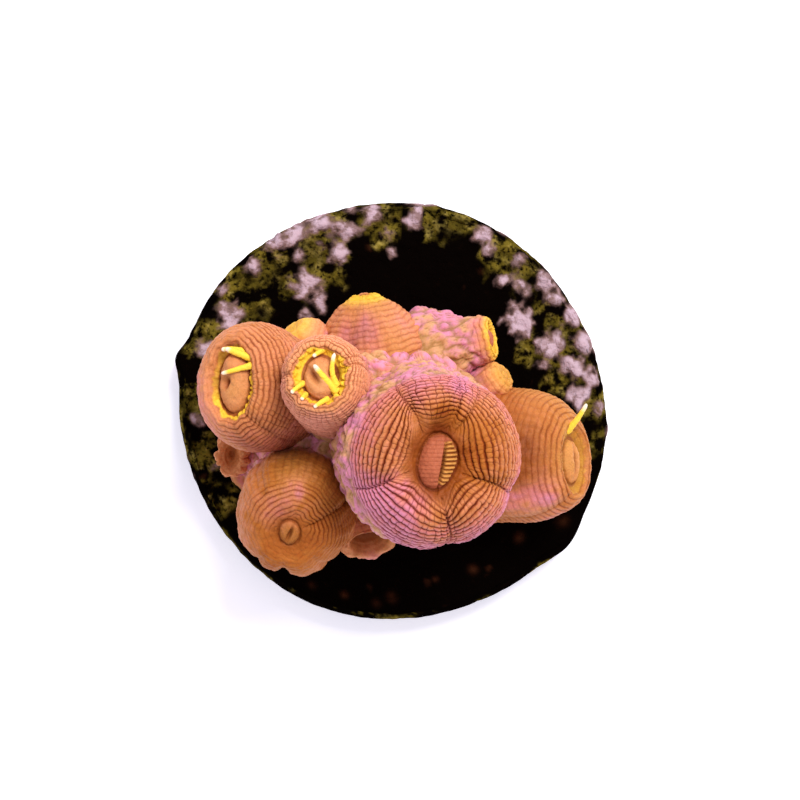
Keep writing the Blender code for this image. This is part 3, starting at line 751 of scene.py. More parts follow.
    def raise_skin(self):
        """All the relief, added up and raised from the bare shape."""
        polyp, along, bare, seed = self.polyp, self.along, self.bare, self.polyp.seed
        tall = self.sizes.ridge_height / MM * polyp.relief
        furrow, ridged = self.furrow, self.ridged
        height = tall * ridged * (0.45 - 0.35 * furrow**2 - 0.75 * furrow**7)
        height -= tall * ridged * (0.22 + 0.30 * self.celled) * off_line(self.cell) ** 4
        height += 0.5 * tall * self.striped * (0.5 - off_line(0.5 * self.cell) ** 2)
        height -= self.sizes.crease_depth / MM * polyp.crease_share * self.crease
        self.lump, self.fine_lump = lumps(bare, 1.25, seed), lumps(bare, 0.55, seed + 4)
        lumpy = 1.5 * self.lump + 0.6 * self.fine_lump - 0.6
        height += self.flank * self.sizes.lump_height / MM * lumpy
        height += 0.055 * unevenness(bare, 0.45, seed + 5) * (1.0 - self.flank)
        height += 0.030 * unevenness(bare, 0.22, seed + 6) * (1.0 - self.flank)
        # Hollows beside the mouth are painted darker the deeper they are: painted shade in the
        # pits.
        self.hollow = 0.0 * along
        for mark in polyp.marks:
            lift = mark_height(self.mouth_x, self.mouth_y, mark) * (self.station < 2.0)
            height += lift
            near_mouth = self.out < 1.3 * self.mouth
            self.hollow = np.maximum(self.hollow, -lift / 0.45 * near_mouth)
        self.lip, lip_height = self.lips()
        height += lip_height
        height += 0.10 * self.puffed

        # Lumps round the golden rim of the mouth, as far as the gold reaches.
        uneven_gold = 0.3 if polyp.gold[2] > 0.5 else 0.9
        uneven_gold = uneven_gold * unevenness(self.circle * 5.0, 1.0, seed + 7)
        self.gold_reach = polyp.gold[1] * (1.0 + uneven_gold)
        on_rim = bell(along - 0.4 * self.gold_reach, 0.24) * self.off_cone
        tooth = lumps(self.circle * 4.6 + 0.3 * along[..., None], 1.0, seed + 3, 0.7)
        side = (0.55 - facing(self.turn, polyp.gold_side[0])) / 0.4
        self.gold_side = 1.0 - polyp.gold_side[1] * smooth_step(side)
        height += polyp.frill * on_rim * self.gold_side * (1.7 * tooth - 0.25)

        self.grid = raised(bare, height)
        self.grid[..., 2] = np.maximum(self.grid[..., 2], DISC_TOP + 0.1)

    def layers(self):
        """The marks that the material paints, by name."""
        polyp, along, cone, seed = self.polyp, self.along, self.cone, self.polyp.seed
        ragged = unevenness(self.bare, 0.9, seed)
        redder, yellowed, shaded = (
            patched(table, self.mouth_x, self.mouth_y, ragged)
            for table in (polyp.patches, polyp.yellowed, polyp.shaded)
        )
        spread = np.clip(along / polyp.pinch[2], 0.0, 1.4)
        tint = polyp.tint[0] + polyp.tint[1] * spread**1.6
        tint = tint + redder * (1.0 - rise(self.station, 2.08, 0.25))
        tint = tint + 0.15 * unevenness(self.bare, 2.4, seed + 6)
        tint = tint + 0.08 * unevenness(self.bare, 0.6, 4)
        gold = polyp.gold[0] * (1.0 - rise(along, self.gold_reach, polyp.gold[2]))
        gold = gold * self.gold_side
        if not polyp.golden_mound:
            gold = gold * smooth_step((self.out - 1.12 * cone) / 0.10)
        mound = smooth_step((cone - self.out) / 0.08)
        mound = mound * (self.station < 1.0) * (polyp.cone_rise > 0.08)
        # The valley between the mound and the ridges: the material paints it darker orange,
        # partly its own colour and partly painted shade, and valley_shade adds more painted
        # shade.
        valley = bell(np.maximum(along, 0.0), 0.60) * (1.0 - mound) * (1.0 - 0.6 * self.ridged)
        groove = 1.0 - smooth_step(np.minimum(self.lump, 1.6 * self.fine_lump) / 0.32)
        # A ring of painted shade in the crevice round the mound.
        moat = bell(self.out - 1.06 * cone, 0.10) * (self.station < 1.05)
        moat = (0.20 + 0.65 * polyp.contrast) * moat * (polyp.cone_rise > 0.2)
        crease = self.crease * (0.4 + 0.6 * polyp.crease_share)
        return {
            "ridge": self.ridge,
            "ridged": np.clip(self.ridged * polyp.contrast + 0.0 * along, 0.0, 1.0),
            "cell": self.cell,
            "celled": np.maximum(self.celled * polyp.contrast, 0.14 * mound),
            "crease": crease * (0.35 + 0.65 * polyp.contrast),
            "striped": self.striped * (1.0 - self.flank),
            "mound": mound * polyp.mound[0],
            "mound_pale": mound * polyp.mound[1],
            "tint": tint,
            "pale": polyp.pale + 0.8 * self.puffed,
            "gold": gold,
            "valley": valley,
            "groove": groove * self.flank,
            "flank": self.flank,
            "hollow": np.clip(np.maximum(self.hollow, moat), 0.0, 1.0),
            "lip": self.lip,
            "lip_line": self.mouth_y / LIP_SPACING + 0.5,
            "ribbed": np.maximum(self.lip, 0.30 * mound * polyp.lips),
            "shaded": np.clip(shaded + polyp.valley_shade * valley, 0.0, 1.0),
            "yellowed": np.clip(yellowed, 0.0, 1.0),
        }


def disc_radius(turn):
    """The disc's radius on each heading: a little oval, with growths on its rim."""
    stretched = np.cos(np.radians(2.0 * (turn - DISC_OVAL_HEADING)))
    radius = DISC_RADIUS * (1.0 + DISC_OVAL * stretched)
    radius = radius - DISC_WAVE * np.sin(np.radians(4.0 * turn))
    for heading, width, growth in RIM_GROWTHS:
        radius = radius + growth * bell(turn_between(turn, heading), width)
    return radius


def crust_reach(turn):
    """How far the crust reaches from its middle on each heading."""
    reach = oval(CRUST_REACH, turn) * (1.0 + 0.02 * np.sin(np.radians(5.0 * turn)))
    for heading, width, growth in CRUST_GROWTHS:
        reach = reach + growth * bell(turn_between(turn, heading), width)
    return reach


def over_crust(x, y):
    """How far out a point of the disc lies from the crust's middle: 1 on the crust's edge."""
    x, y = x - CRUST_CENTRE[0], y - CRUST_CENTRE[1]
    return np.hypot(x, y) / crust_reach(np.degrees(np.arctan2(y, x)))


def disc_surface():
    """The bare disc: its grid of points and how far down its side each ring is, 0 to 1."""
    turn = (np.arange(DISC_SEGMENTS) * 360.0 / DISC_SEGMENTS)[None, :]
    radius = disc_radius(turn)
    top, wall, under = DISC_RINGS
    share = np.concatenate((
        np.linspace(0.0, 1.0, top) ** 0.8, np.ones(wall), np.linspace(1.0, 0.0, under)
    ))[:, None]
    depth = np.concatenate((np.zeros(top), np.linspace(0.0, 1.0, wall), np.ones(under)))
    depth = depth[:, None]
    # The rim and the foot are rounded.
    rounding = 0.5 * (bell(depth, 0.10) + 0.6 * bell(1.0 - depth, 0.05))
    out = radius * share - rounding * share**30
    grid = circle_of(np.radians(turn)) * out[..., None]
    grid = np.broadcast_to(grid, (len(share), DISC_SEGMENTS, 3)).copy()
    grid[..., 2] = DISC_THICKNESS * (1.0 - depth)
    return grid, depth


# Pale lilac growths on the disc: x, y, reach and how pale.
LILAC_GROWTHS = (
    (-5.6, 14.2, 1.5, 0.9), (-7.3, 13.4, 1.3, 0.9), (-8.9, 12.5, 1.1, 0.8),
    (-3.3, 13.6, 1.0, 0.8), (-3.2, 15.2, 0.8, 0.9), (-4.2, 11.9, 0.9, 0.9),
    (-1.7, 14.8, 1.0, 0.8), (-0.4, 13.4, 0.8, 0.6), (1.5, 14.2, 0.75, 1.2),
    (-0.1, 11.9, 0.6, 0.7), (-10.5, 10.8, 0.8, 0.8), (-7.0, 11.7, 0.7, 0.7),
    (-6.5, 9.4, 1.4, 0.8), (-5.6, 8.2, 1.0, 0.7), (-6.5, 7.2, 0.8, 0.6),
    (-12.2, 7.2, 1.15, 1.0), (-14.0, 4.6, 0.9, 0.7), (-14.6, -0.6, 0.7, 0.7),
    (-13.3, -4.2, 0.6, 0.5), (6.8, 13.2, 0.9, 0.9), (7.2, 12.2, 0.7, 0.7),
    (9.6, 11.3, 0.8, 0.6), (8.2, 9.7, 0.8, 0.7), (9.6, 9.4, 0.9, 0.8),
    (11.4, 9.7, 0.9, 1.0), (12.2, 8.5, 0.9, 0.8), (9.4, 6.7, 1.15, 1.3),
    (13.3, 7.0, 1.0, 0.9), (14.2, 5.2, 1.0, 0.9), (11.7, 5.0, 1.1, 0.9),
    (13.4, 3.4, 1.0, 0.9), (14.9, 2.6, 0.9, 0.8), (13.9, 1.1, 1.0, 0.9),
    (11.3, 3.4, 0.8, 0.6), (15.4, 0.2, 0.8, 0.6), (-12.8, 9.0, 0.8, 0.6),
)
# Olive film on the disc: x, y and reach.
OLIVE_GROWTHS = (
    (-8.0, 11.2, 3.4), (-5.2, 10.8, 2.2), (-4.6, 13.4, 2.6), (-0.8, 14.2, 2.2),
    (2.2, 14.4, 2.0), (5.0, 14.2, 1.8), (-11.4, 8.6, 2.6), (-13.8, 5.6, 2.0),
    (-14.6, 1.0, 2.2), (-14.0, -3.4, 2.0), (-12.6, -6.8, 1.6), (8.2, 11.8, 2.2),
    (9.4, 10.2, 1.8), (12.4, 7.6, 2.0), (10.4, 4.8, 1.6), (13.0, 4.6, 2.4),
    (14.8, 0.8, 2.0), (12.0, 2.2, 1.4), (15.2, -2.4, 1.2),
)
# Small brown spots on the bare part of the disc: x, y and reach.
BROWN_SPOTS = (
    (-0.1, -13.9, 0.34), (-1.2, -14.4, 0.30), (-3.6, -13.7, 0.26), (-6.0, -13.0, 0.26),
    (6.0, -11.8, 0.30), (9.4, -9.4, 0.34), (12.6, -8.2, 0.40), (3.2, -12.6, 0.20),
)


def spots(points, table, warp):
    """How much each point of the disc is covered by a table of spots."""
    cover = np.zeros(points.shape[:2])
    for x, y, reach, *strength in table:
        off = np.hypot(points[..., 0] - x, points[..., 1] - y)
        off = np.hypot(off, 0.8 * (DISC_THICKNESS - points[..., 2])) + reach * warp
        near = bell(off, reach) * (strength[0] if strength else 1.0)
        cover = np.maximum(cover, near)
    return cover


def build_disc(collection):
    """The disc: crusted on top and on its rim, flat underneath."""
    relief = bpy.context.scene.coral_sizes.crust_relief / MM
    grid, depth = disc_surface()
    x, y, z = grid[..., 0], grid[..., 1], grid[..., 2]
    grown = rise(over_crust(x, y), 1.02, 0.12)
    on_top = (depth == 0.0) * 1.0
    flat = np.stack((x, y, 0.6 * z), axis=-1)
    lump, knob, crumb = lumps(flat, 2.0, 21), lumps(flat, 1.15, 22), unevenness(flat, 0.38, 23)
    heading = np.degrees(np.arctan2(y, x))
    warp = 0.55 * unevenness(flat, 0.9, 24) + 0.25 * crumb
    lilac = spots(grid, LILAC_GROWTHS, warp)
    olive = spots(grid, OLIVE_GROWTHS, 0.5 * warp)
    brown = spots(grid, BROWN_SPOTS, 0.3 * warp)
    # The rim below the edge carries growths of its own.
    wall = smooth_step((DISC_TOP - z) / 0.8)
    on_wall = unevenness(flat, 2.6, 25)
    lilac = np.maximum(lilac, wall * (0.9 * on_wall + 0.4 * knob - 0.05))
    olive = np.maximum(olive, wall * smooth_step(0.5 + 1.2 * unevenness(flat, 3.0, 27)) * 0.9)
    lilac = rise(lilac, 0.14, 0.74)
    edge = np.hypot(x, y) / disc_radius(heading)
    off_film = (turn_between(heading, FILM[0]) / FILM[1]) ** 2 + ((DISC_TOP - z) / 0.5) ** 2
    film = np.exp(-off_film) * smooth_step((edge - 0.976 + 0.02 * crumb) / 0.012)
    olive = np.maximum(olive, film)
    olive = smooth_step((olive + 0.35 * unevenness(flat, 1.0, 28) + 0.15 * crumb - 0.42) / 0.30)
    rust = rise(unevenness(flat, 1.1, 26), 0.60, 0.2)
    covered = np.maximum(olive, lilac)
    height = relief * (0.7 * lump + 0.4 * knob + 0.10 * crumb - 0.5)
    height = height * (0.40 + 0.60 * covered) + relief * 0.55 * lilac * (0.7 + 0.5 * knob)
    height = height + 0.25 * relief * brown
    height = height * (on_top * grown + (1.0 - on_top) * 0.30)
    # Nothing grows out at the foot of the rim or underneath.
    under = DISC_RINGS[2]
    height = np.where(z < 0.5, np.minimum(height, 0.0) * (z > 0.01), height)
    height[-under:] = 0.0
    made = raised(grid, height)
    made[-under:, :, 2] = 0.0
    return wrapped("frag_disc_crusted", collection, made, {
        "olive": olive, "lilac": lilac, "rust": np.maximum(0.5 * rust, brown),
        "pit": 1.0 - np.clip(lump * 2.2 + lilac, 0.0, 1.0),
    })


def build_crust(collection):
    """The lumpy crust: hummocks and folds that thin out to nothing at its edge."""
    lump_height = bpy.context.scene.coral_sizes.lump_height / MM
    rings = CRUST_RINGS
    turn = (np.arange(CRUST_SEGMENTS) * 360.0 / CRUST_SEGMENTS)[None, :]
    way = np.linspace(0.0, 1.0, rings)
    share = 0.25 * way + 0.75 * np.sin(0.5 * math.pi * way)
    share = np.concatenate((share, (0.9, 0.0)))[:, None]
    out = crust_reach(turn) * share
    x = CRUST_CENTRE[0] + out * np.cos(np.radians(turn))
    y = CRUST_CENTRE[1] + out * np.sin(np.radians(turn))
    height = CRUST_EDGE + 0.0 * x
    for hummock_x, hummock_y, up, width in HUMMOCKS + FOLDS:
        height += up * bell(np.hypot(x - hummock_x, y - hummock_y), width)
    height *= np.sqrt(1.0 - share**4)
    height[rings:] = 0.0
    grid = np.stack((x, y, DISC_TOP + height), axis=-1)
    lump, knob = lumps(grid, 1.5, 31), lumps(grid, 0.7, 32)
    lift = lump_height * (1.9 * lump + 0.8 * knob - 0.6)
    lift = (lift + 0.08) * smooth_step((grid[..., 2] - DISC_TOP) / 0.5)
    lift[rings:] = 0.0
    # The underside is sunk a little way into the disc.
    made = raised(grid, lift)
    made[..., 2] = np.maximum(made[..., 2], DISC_TOP - 0.4)
    made[rings:, :, 2] = DISC_TOP - 0.5
    groove = 1.0 - smooth_step(np.minimum(lump, 1.5 * knob) / 0.32)
    low = 1.0 - smooth_step((grid[..., 2] - DISC_TOP - 0.8) / 2.0)
    return wrapped("colony_base_skin", collection, made, {"groove": groove, "low": low})


def build_tentacles(collection, name, polyp):
    """All tentacles of one polyp: bent, tapering and knobbly, with rounded tips."""
    thick = bpy.context.scene.coral_sizes.tentacle_thickness
    made = []
    for number, (points, radii) in enumerate(TENTACLES[name]):
        start, bend, tip = (np.array(point) for point in points)
        way = np.linspace(0.0, 1.0, TENTACLE_RINGS + 1)[:, None]
        centre = start * (1 - way) ** 2 + bend * 2 * way * (1 - way) + tip * way**2
        tangent = (bend - start) * (1 - way) + (tip - bend) * way
        tangent /= np.linalg.norm(tangent, axis=1, keepdims=True)
        side = np.cross(tangent, (0.31, 0.17, 0.93))
        side /= np.linalg.norm(side, axis=1, keepdims=True)
        other = np.cross(tangent, side)
        angle = np.linspace(0.0, 2.0 * math.pi, TENTACLE_SEGMENTS, endpoint=False)
        angle = angle[None, :, None]
        radius = radii[0] + (radii[1] - radii[0]) * way**0.7
        # The tip is rounded, and the base runs to a point inside the polyp.
        blunt = np.sqrt(np.maximum(1.0 - np.clip((way - 0.90) / 0.10, 0.0, 1.0) ** 2, 0.0))
        radius = radius * blunt * thick * np.where(way <= 0.0, 0.0, 1.0)
        ring = side[:, None] * np.cos(angle) - other[:, None] * np.sin(angle)
        bumps = unevenness(centre[:, None] + ring * 0.3, 0.17, number)
        knobs = 1.0 + 0.16 * bumps[..., None]
        beside = centre[:, None] + ring * radius[:, None] * knobs
        grid = on_axis(polyp, np.zeros(beside.shape[:2]), beside)
        piece = f"{name}_tentacle_{number + 1}"
        made.append(wrapped(piece, collection, grid[::-1, ::-1], {
            "pale": rise(way[::-1], 0.74, 0.2) + 0.0 * angle[..., 0],
            "fold": np.clip(2.0 * (1.0 - knobs[::-1, ::-1, 0]) + 0.3, 0.0, 1.0),
        }))
    return made


class Paint:
    """Short ways to add and join the nodes of a material."""

    def __init__(self, name, roughness, specular=0.10):
        self.material = bpy.data.materials.new(name)
        self.material.use_nodes = True
        self.tree = self.material.node_tree
        self.surface = self.tree.nodes["Principled BSDF"]
        self.surface.inputs["Roughness"].default_value = roughness
        self.surface.inputs["Specular IOR Level"].default_value = specular
        self.place = self.tree.nodes.new("ShaderNodeTexCoord").outputs["Object"]

    def put(self, socket, value):
        """Links a node's output to the socket, or sets the socket's own value."""
        if isinstance(value, bpy.types.NodeSocket):
            self.tree.links.new(value, socket)
        elif hasattr(value, "__len__"):
            socket.default_value = (*value, 1.0)[:4]
        else:
            socket.default_value = value

    def layer(self, name):
        """The value of one of the skin's layers of marks."""
        node = self.tree.nodes.new("ShaderNodeAttribute")
        node.attribute_name = name
        return node.outputs["Fac"]

    def sum(self, operation, first, second=0.0, third=0.0):
        """Up to three values, joined by the math operation of this name."""
        node = self.tree.nodes.new("ShaderNodeMath")
        node.operation = operation
        for socket, value in zip(node.inputs, (first, second, third)):
            self.put(socket, value)
        return node.outputs[0]

    def times(self, first, second):
        return self.sum("MULTIPLY", first, second)

    def most(self, first, *others):
        """The highest of these values."""
        for other in others:
            first = self.sum("MAXIMUM", first, other)
        return first

    def between(self, value, low, high):
        """0 up to the low value, then smoothly up to 1 at the high one."""
        node = self.tree.nodes.new("ShaderNodeMapRange")
        node.interpolation_type = "SMOOTHSTEP"
        self.put(node.inputs["Value"], value)
        node.inputs["From Min"].default_value = low
        node.inputs["From Max"].default_value = high
        return node.outputs[0]

    def mix(self, share, first, second, blend="MIX"):
        """The first colour, with this share of the second over it."""
        node = self.tree.nodes.new("ShaderNodeMix")
        node.data_type = "RGBA"
        node.blend_type = blend
        self.put(node.inputs["Factor"], share)
        self.put(node.inputs[6], first)
        self.put(node.inputs[7], second)
        return node.outputs[2]

    def noise(self, size, detail=3.0):
        """Grain with lumps of this size in millimetres, 0 to 1."""
        node = self.tree.nodes.new("ShaderNodeTexNoise")
        self.put(node.inputs["Vector"], self.place)
        node.inputs["Scale"].default_value = 1.0 / (size * MM)
        node.inputs["Detail"].default_value = detail
        return node.outputs["Fac"]

    def ramp(self, value, stops):
        """The colour for this value, between stops that are a place and a colour."""
        node = self.tree.nodes.new("ShaderNodeValToRGB")
        self.put(node.inputs[0], value)
        points = node.color_ramp.elements
        while len(points) < len(stops):
            points.new(1.0)
        for point, (place, colour) in zip(points, stops):
            point.position = place
            point.color = (*colour, 1.0)
        return node.outputs[0]

    def soften(self, weight, reach):
        """Lets light into the tissue, this far in millimetres."""
        self.surface.inputs["Subsurface Weight"].default_value = weight
        self.surface.inputs["Subsurface Scale"].default_value = reach * MM

    def finish(self, colour, height, lift, roughness):
        """The material, with its colour, its roughness and a bump this high in millimetres."""
        self.put(self.surface.inputs["Base Color"], colour)
        bump = self.tree.nodes.new("ShaderNodeBump")
        bump.inputs["Distance"].default_value = lift * MM
        self.put(bump.inputs["Height"], height)
        self.put(self.surface.inputs["Normal"], bump.outputs[0])
        self.put(self.surface.inputs["Roughness"], roughness)
        return self.material


def line(paint, phase, narrow):
    """A line wherever the phase is whole: 1 in its middle, 0 once this share is past."""
    part = paint.sum("FRACT", phase)
    off = paint.sum("ABSOLUTE", paint.sum("SUBTRACT", part, 0.5))
    return paint.between(paint.times(off, 2.0), 1.0 - narrow, 1.0)


def polyp_skin():
    """Fleshy ridged skin: orange at the mouth, salmon, then pink and lilac on the shoulder."""
    colours = bpy.context.scene.coral_colours
    paint = Paint("ridged polyp skin", 0.5)
    paint.soften(0.05, 0.5)
    paint.surface.inputs["Subsurface Radius"].default_value = (1.0, 0.30, 0.12)
    mottle = paint.sum("SUBTRACT", paint.noise(0.55, 4.0), 0.5)
    tint = paint.sum("MULTIPLY_ADD", mottle, 0.45, paint.layer("tint"))
    body = paint.ramp(tint, (
        (0.0, colours.mouth_orange), (0.25, colours.tan_orange), (0.50, colours.salmon),
        (0.75, colours.pink), (1.0, colours.lilac),
    ))
    body = paint.mix(paint.layer("pale"), body, colours.pale_flesh)
    ridge, ridged = paint.layer("ridge"), paint.layer("ridged")
    # The sides of each ridge darken towards the furrows: partly their own orange, partly
    # painted shade that rounds the ridges.
    slope = paint.times(line(paint, ridge, 1.0), ridged)
    body = paint.mix(paint.times(slope, 0.62), body, colours.slope_orange)
    # The valley round the mound is painted darker orange: partly its own colour, partly painted
    # shade.
    body = paint.mix(paint.times(paint.layer("valley"), 0.75), body, colours.mouth_orange)
    body = paint.mix(paint.layer("mound"), body, colours.mound_pink)
    body = paint.mix(paint.layer("mound_pale"), body, colours.pale_flesh)
    blotch = paint.between(paint.noise(1.6, 3.0), 0.39, 0.57)
    flesh = paint.mix(blotch, colours.cream, colours.lilac)
    flesh = paint.mix(paint.times(paint.layer("groove"), 0.85), flesh, colours.olive)
    body = paint.mix(paint.layer("flank"), body, flesh)
    body = paint.mix(paint.layer("yellowed"), body, colours.straw)
    blotch = paint.between(paint.noise(0.5, 3.0), 0.48, 0.72)
    gold = paint.mix(blotch, colours.gold, colours.deep_gold)
    body = paint.mix(paint.layer("gold"), body, gold)
    body = paint.mix(paint.times(paint.layer("lip"), 0.85), body, colours.lip_gold)

    # Dark lines: furrows, cross lines, stripes, creases, lip furrows and hollows. The lines in
    # grooves are partly the skin's own colour and partly painted shade; the hollows and the
    # moat are painted shade.
    cell = paint.layer("cell")
    furrow = paint.times(line(paint, ridge, 0.44), ridged)
    cross = paint.times(line(paint, cell, 0.16), paint.layer("celled"))
    stripe = line(paint, paint.times(cell, 0.5), 0.55)
    stripe = paint.times(stripe, paint.times(paint.layer("striped"), 0.24))
    crease = paint.times(paint.layer("crease"), 0.9)
    lips = paint.times(line(paint, paint.layer("lip_line"), 0.70), paint.layer("ribbed"))
    hollow = paint.times(paint.layer("hollow"), 0.8)
    dark = paint.most(furrow, cross, stripe, crease, paint.times(lips, 0.9), hollow)
    shade = paint.times(dark, paint.between(paint.noise(0.9, 2.0), 0.15, 0.60))
    shade = paint.sum("MULTIPLY_ADD", dark, 0.62, paint.times(shade, 0.38))
    body = paint.mix(shade, body, colours.furrow, "MULTIPLY")
    body = paint.mix(paint.layer("shaded"), body, colours.shade, "MULTIPLY")
    grain = paint.noise(0.12, 3.0)
    speckle = paint.ramp(grain, ((0.3, (0.6, 0.6, 0.6)), (0.7, (1.0, 1.0, 1.0))))
    body = paint.mix(0.5, body, speckle, "MULTIPLY")
    height = paint.sum("MULTIPLY_ADD", grain, 0.35, paint.times(dark, -1.0))
    rough = paint.sum("MULTIPLY_ADD", paint.noise(0.4, 2.0), 0.25, 0.40)
    return paint.finish(body, height, 0.06, rough)


def crust_skin():
    """Lumpy shared tissue: cream and lilac lumps with olive grooves."""
    colours = bpy.context.scene.coral_colours
    paint = Paint("shared lumpy tissue", 0.55)
    paint.soften(0.08, 0.5)
    blotch = paint.between(paint.noise(1.6, 3.0), 0.38, 0.56)
    body = paint.mix(blotch, colours.cream, colours.lilac)
    body = paint.mix(paint.between(paint.noise(1.3, 3.0), 0.54, 0.66), body, colours.pink)
    body = paint.mix(paint.times(paint.layer("groove"), 0.8), body, colours.olive)
    body = paint.mix(paint.times(paint.layer("low"), 0.55), body, colours.mouth_orange)
    grain = paint.noise(0.15, 3.0)
    height = paint.sum("MULTIPLY_ADD", grain, 0.5, paint.times(paint.layer("groove"), -0.6))
    rough = paint.sum("MULTIPLY_ADD", paint.noise(0.4, 2.0), 0.25, 0.40)
    return paint.finish(body, height, 0.08, rough)


def tentacle_skin():
    """Bright yellow, knobbly, with white tips."""
    colours = bpy.context.scene.coral_colours
    paint = Paint("golden tentacle skin", 0.45)
    paint.soften(0.15, 0.4)
    blotch = paint.between(paint.noise(0.2, 2.0), 0.35, 0.65)
    body = paint.mix(blotch, colours.gold, colours.tentacle)
    body = paint.mix(paint.layer("pale"), body, colours.tentacle_tip)
    body = paint.mix(paint.times(paint.layer("fold"), 0.35), body, colours.lip_gold)
    rough = paint.sum("MULTIPLY_ADD", paint.noise(0.3, 2.0), 0.2, 0.35)
    return paint.finish(body, paint.noise(0.08, 2.0), 0.03, rough)


def disc_skin():
    """Near-black rough disc under patches of olive film and pale lilac crust."""
    colours = bpy.context.scene.coral_colours
    paint = Paint("crusted black disc", 0.85, 0.0)
    fine = paint.noise(0.30, 5.0)
    specks = paint.between(paint.noise(0.7, 4.0), 0.60, 0.74)
    body = paint.mix(paint.times(specks, 0.035), colours.disc_black, colours.disc_brown)
    body = paint.mix(paint.layer("rust"), body, colours.disc_brown)
    gaps = paint.between(paint.noise(1.3, 4.0), 0.40, 0.54)
    olive = paint.times(paint.layer("olive"), paint.between(fine, 0.30, 0.56))
    olive = paint.times(olive, gaps)
    bright = paint.between(paint.noise(1.0, 3.0), 0.50, 0.66)
    film = paint.mix(bright, colours.disc_olive, colours.disc_moss)
    body = paint.mix(olive, body, film)
    patch = paint.between(paint.noise(0.8, 4.0), 0.36, 0.58)
    lilac = paint.times(paint.layer("lilac"), paint.sum("MULTIPLY_ADD", patch, 0.55, 0.45))
    pale = paint.mix(paint.between(lilac, 0.30, 0.92), colours.disc_mauve, colours.disc_lilac)
    body = paint.mix(paint.between(lilac, 0.05, 0.50), body, pale)
    body = paint.mix(paint.times(paint.layer("pit"), 0.70), body, colours.disc_black)
    height = paint.sum("MULTIPLY_ADD", lilac, 0.4, fine)
    rough = paint.sum("MULTIPLY_ADD", fine, 0.3, 0.60)
    return paint.finish(body, height, 0.20, rough)


def dress(piece, material, slot, *nodes):
    """Gives the piece its material, and says what it rides on and which nodes it replaces."""
    piece.data.materials.clear()
    piece.data.materials.append(material)
    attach(piece, BODY)
    if nodes:
        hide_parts(*nodes)


def colour_property(name, description, default):
    return FloatVectorProperty(
        name=name, description=description, default=default, subtype="COLOR", size=3,
        min=0.0, max=1.0,
    )


def length_property(name, description, default):
    """A length, with its default in millimetres."""
    return FloatProperty(
        name=name, description=description, default=default * MM, min=0.0, unit="LENGTH",
        subtype="DISTANCE",
    )


class CoralColours(PropertyGroup):
    """The colours of the colony and its disc."""

    mouth_orange: colour_property("Mouth orange", "Skin round the mouths", (0.36, 0.085, 0.010))
    tan_orange: colour_property("Tan orange", "Ridges of the low polyps", (0.44, 0.138, 0.022))
    salmon: colour_property("Salmon", "Ridges of the high polyps", (0.60, 0.213, 0.092))
    pink: colour_property("Pink", "Ridges on the shoulder", (0.64, 0.200, 0.190))
    lilac: colour_property("Lilac", "Outermost ridges and lumps", (0.67, 0.235, 0.350))
    pale_flesh: colour_property("Pale flesh", "The paler polyps", (0.80, 0.330, 0.150))
    # Slope orange is partly the ridges' own orange and partly painted shade on their sides.
    slope_orange: colour_property("Slope orange", "Sides of the ridges", (0.30, 0.052, 0.007))
    mound_pink: colour_property("Mound pink", "Mounds inside the mouths", (0.44, 0.118, 0.055))
    # The furrow tint is partly the skin's own colour and partly painted shade in the grooves.
    furrow: colour_property("Furrow", "Tint of furrows and creases", (0.31, 0.078, 0.006))
    shade: colour_property("Shade", "Tint of the shaded hollows", (0.44, 0.300, 0.190))
    straw: colour_property("Straw", "Yellowed patches", (0.60, 0.300, 0.070))
    cream: colour_property("Cream", "Lumpy flanks", (0.62, 0.310, 0.150))
    olive: colour_property("Olive", "Grooves of the flanks", (0.30, 0.150, 0.035))
    gold: colour_property("Gold", "Rims of the mouths and buds", (0.96, 0.620, 0.050))
    deep_gold: colour_property("Deep gold", "Darker gold between", (0.88, 0.450, 0.025))
    lip_gold: colour_property("Lip gold", "Lip ridges", (0.66, 0.310, 0.070))
    tentacle: colour_property("Tentacle", "Tentacles", (0.88, 0.610, 0.060))
    tentacle_tip: colour_property("Tentacle tip", "Tips of tentacles", (0.90, 0.760, 0.620))
    disc_black: colour_property("Disc black", "The bare disc", (0.0015, 0.0008, 0.0006))
    disc_brown: colour_property("Disc brown", "Stains on the disc", (0.040, 0.012, 0.005))
    disc_olive: colour_property("Disc olive", "Film on the disc", (0.130, 0.095, 0.012))
    disc_moss: colour_property("Disc moss", "Brightest film on the disc", (0.27, 0.200, 0.045))
    disc_lilac: colour_property("Disc lilac", "Pale crust on the disc", (0.46, 0.330, 0.385))
    disc_mauve: colour_property("Disc mauve", "Thin crust on the disc", (0.19, 0.110, 0.100))


class CoralSizes(PropertyGroup):
    """The sizes of the colony's surface detail."""

    ridge_height: length_property("Ridge height", "Height of the ridges round each mouth", 0.19)
    crease_depth: length_property("Crease depth", "Depth of the creases between lobes", 0.34)
    lump_height: length_property("Lump height", "Height of the lumps on flanks and crust", 0.34)
    crust_relief: length_property("Crust relief", "Height of the growths on the disc", 0.75)
    tentacle_thickness: FloatProperty(
        name="Tentacle thickness", description="Thickness of the tentacles",
        default=1.0, min=0.3, max=2.0, subtype="FACTOR",
    )


class StageSettings(PropertyGroup):
    """The floor and the light."""

    floor_colour: colour_property("Floor", "The pale floor", (0.90, 0.90, 0.90))
    key_power: FloatProperty(
        name="Key light", description="Power of the large soft light overhead",
        default=1.28, min=0.0, unit="POWER",
    )
    floor_glow: FloatProperty(
        name="Floor glow", description="How much the floor lightens its own shadow",
        default=0.46, min=0.0,
    )
    fill_strength: FloatProperty(
        name="Fill", description="Strength of the even light from all round",
        default=0.80, min=0.0,
    )


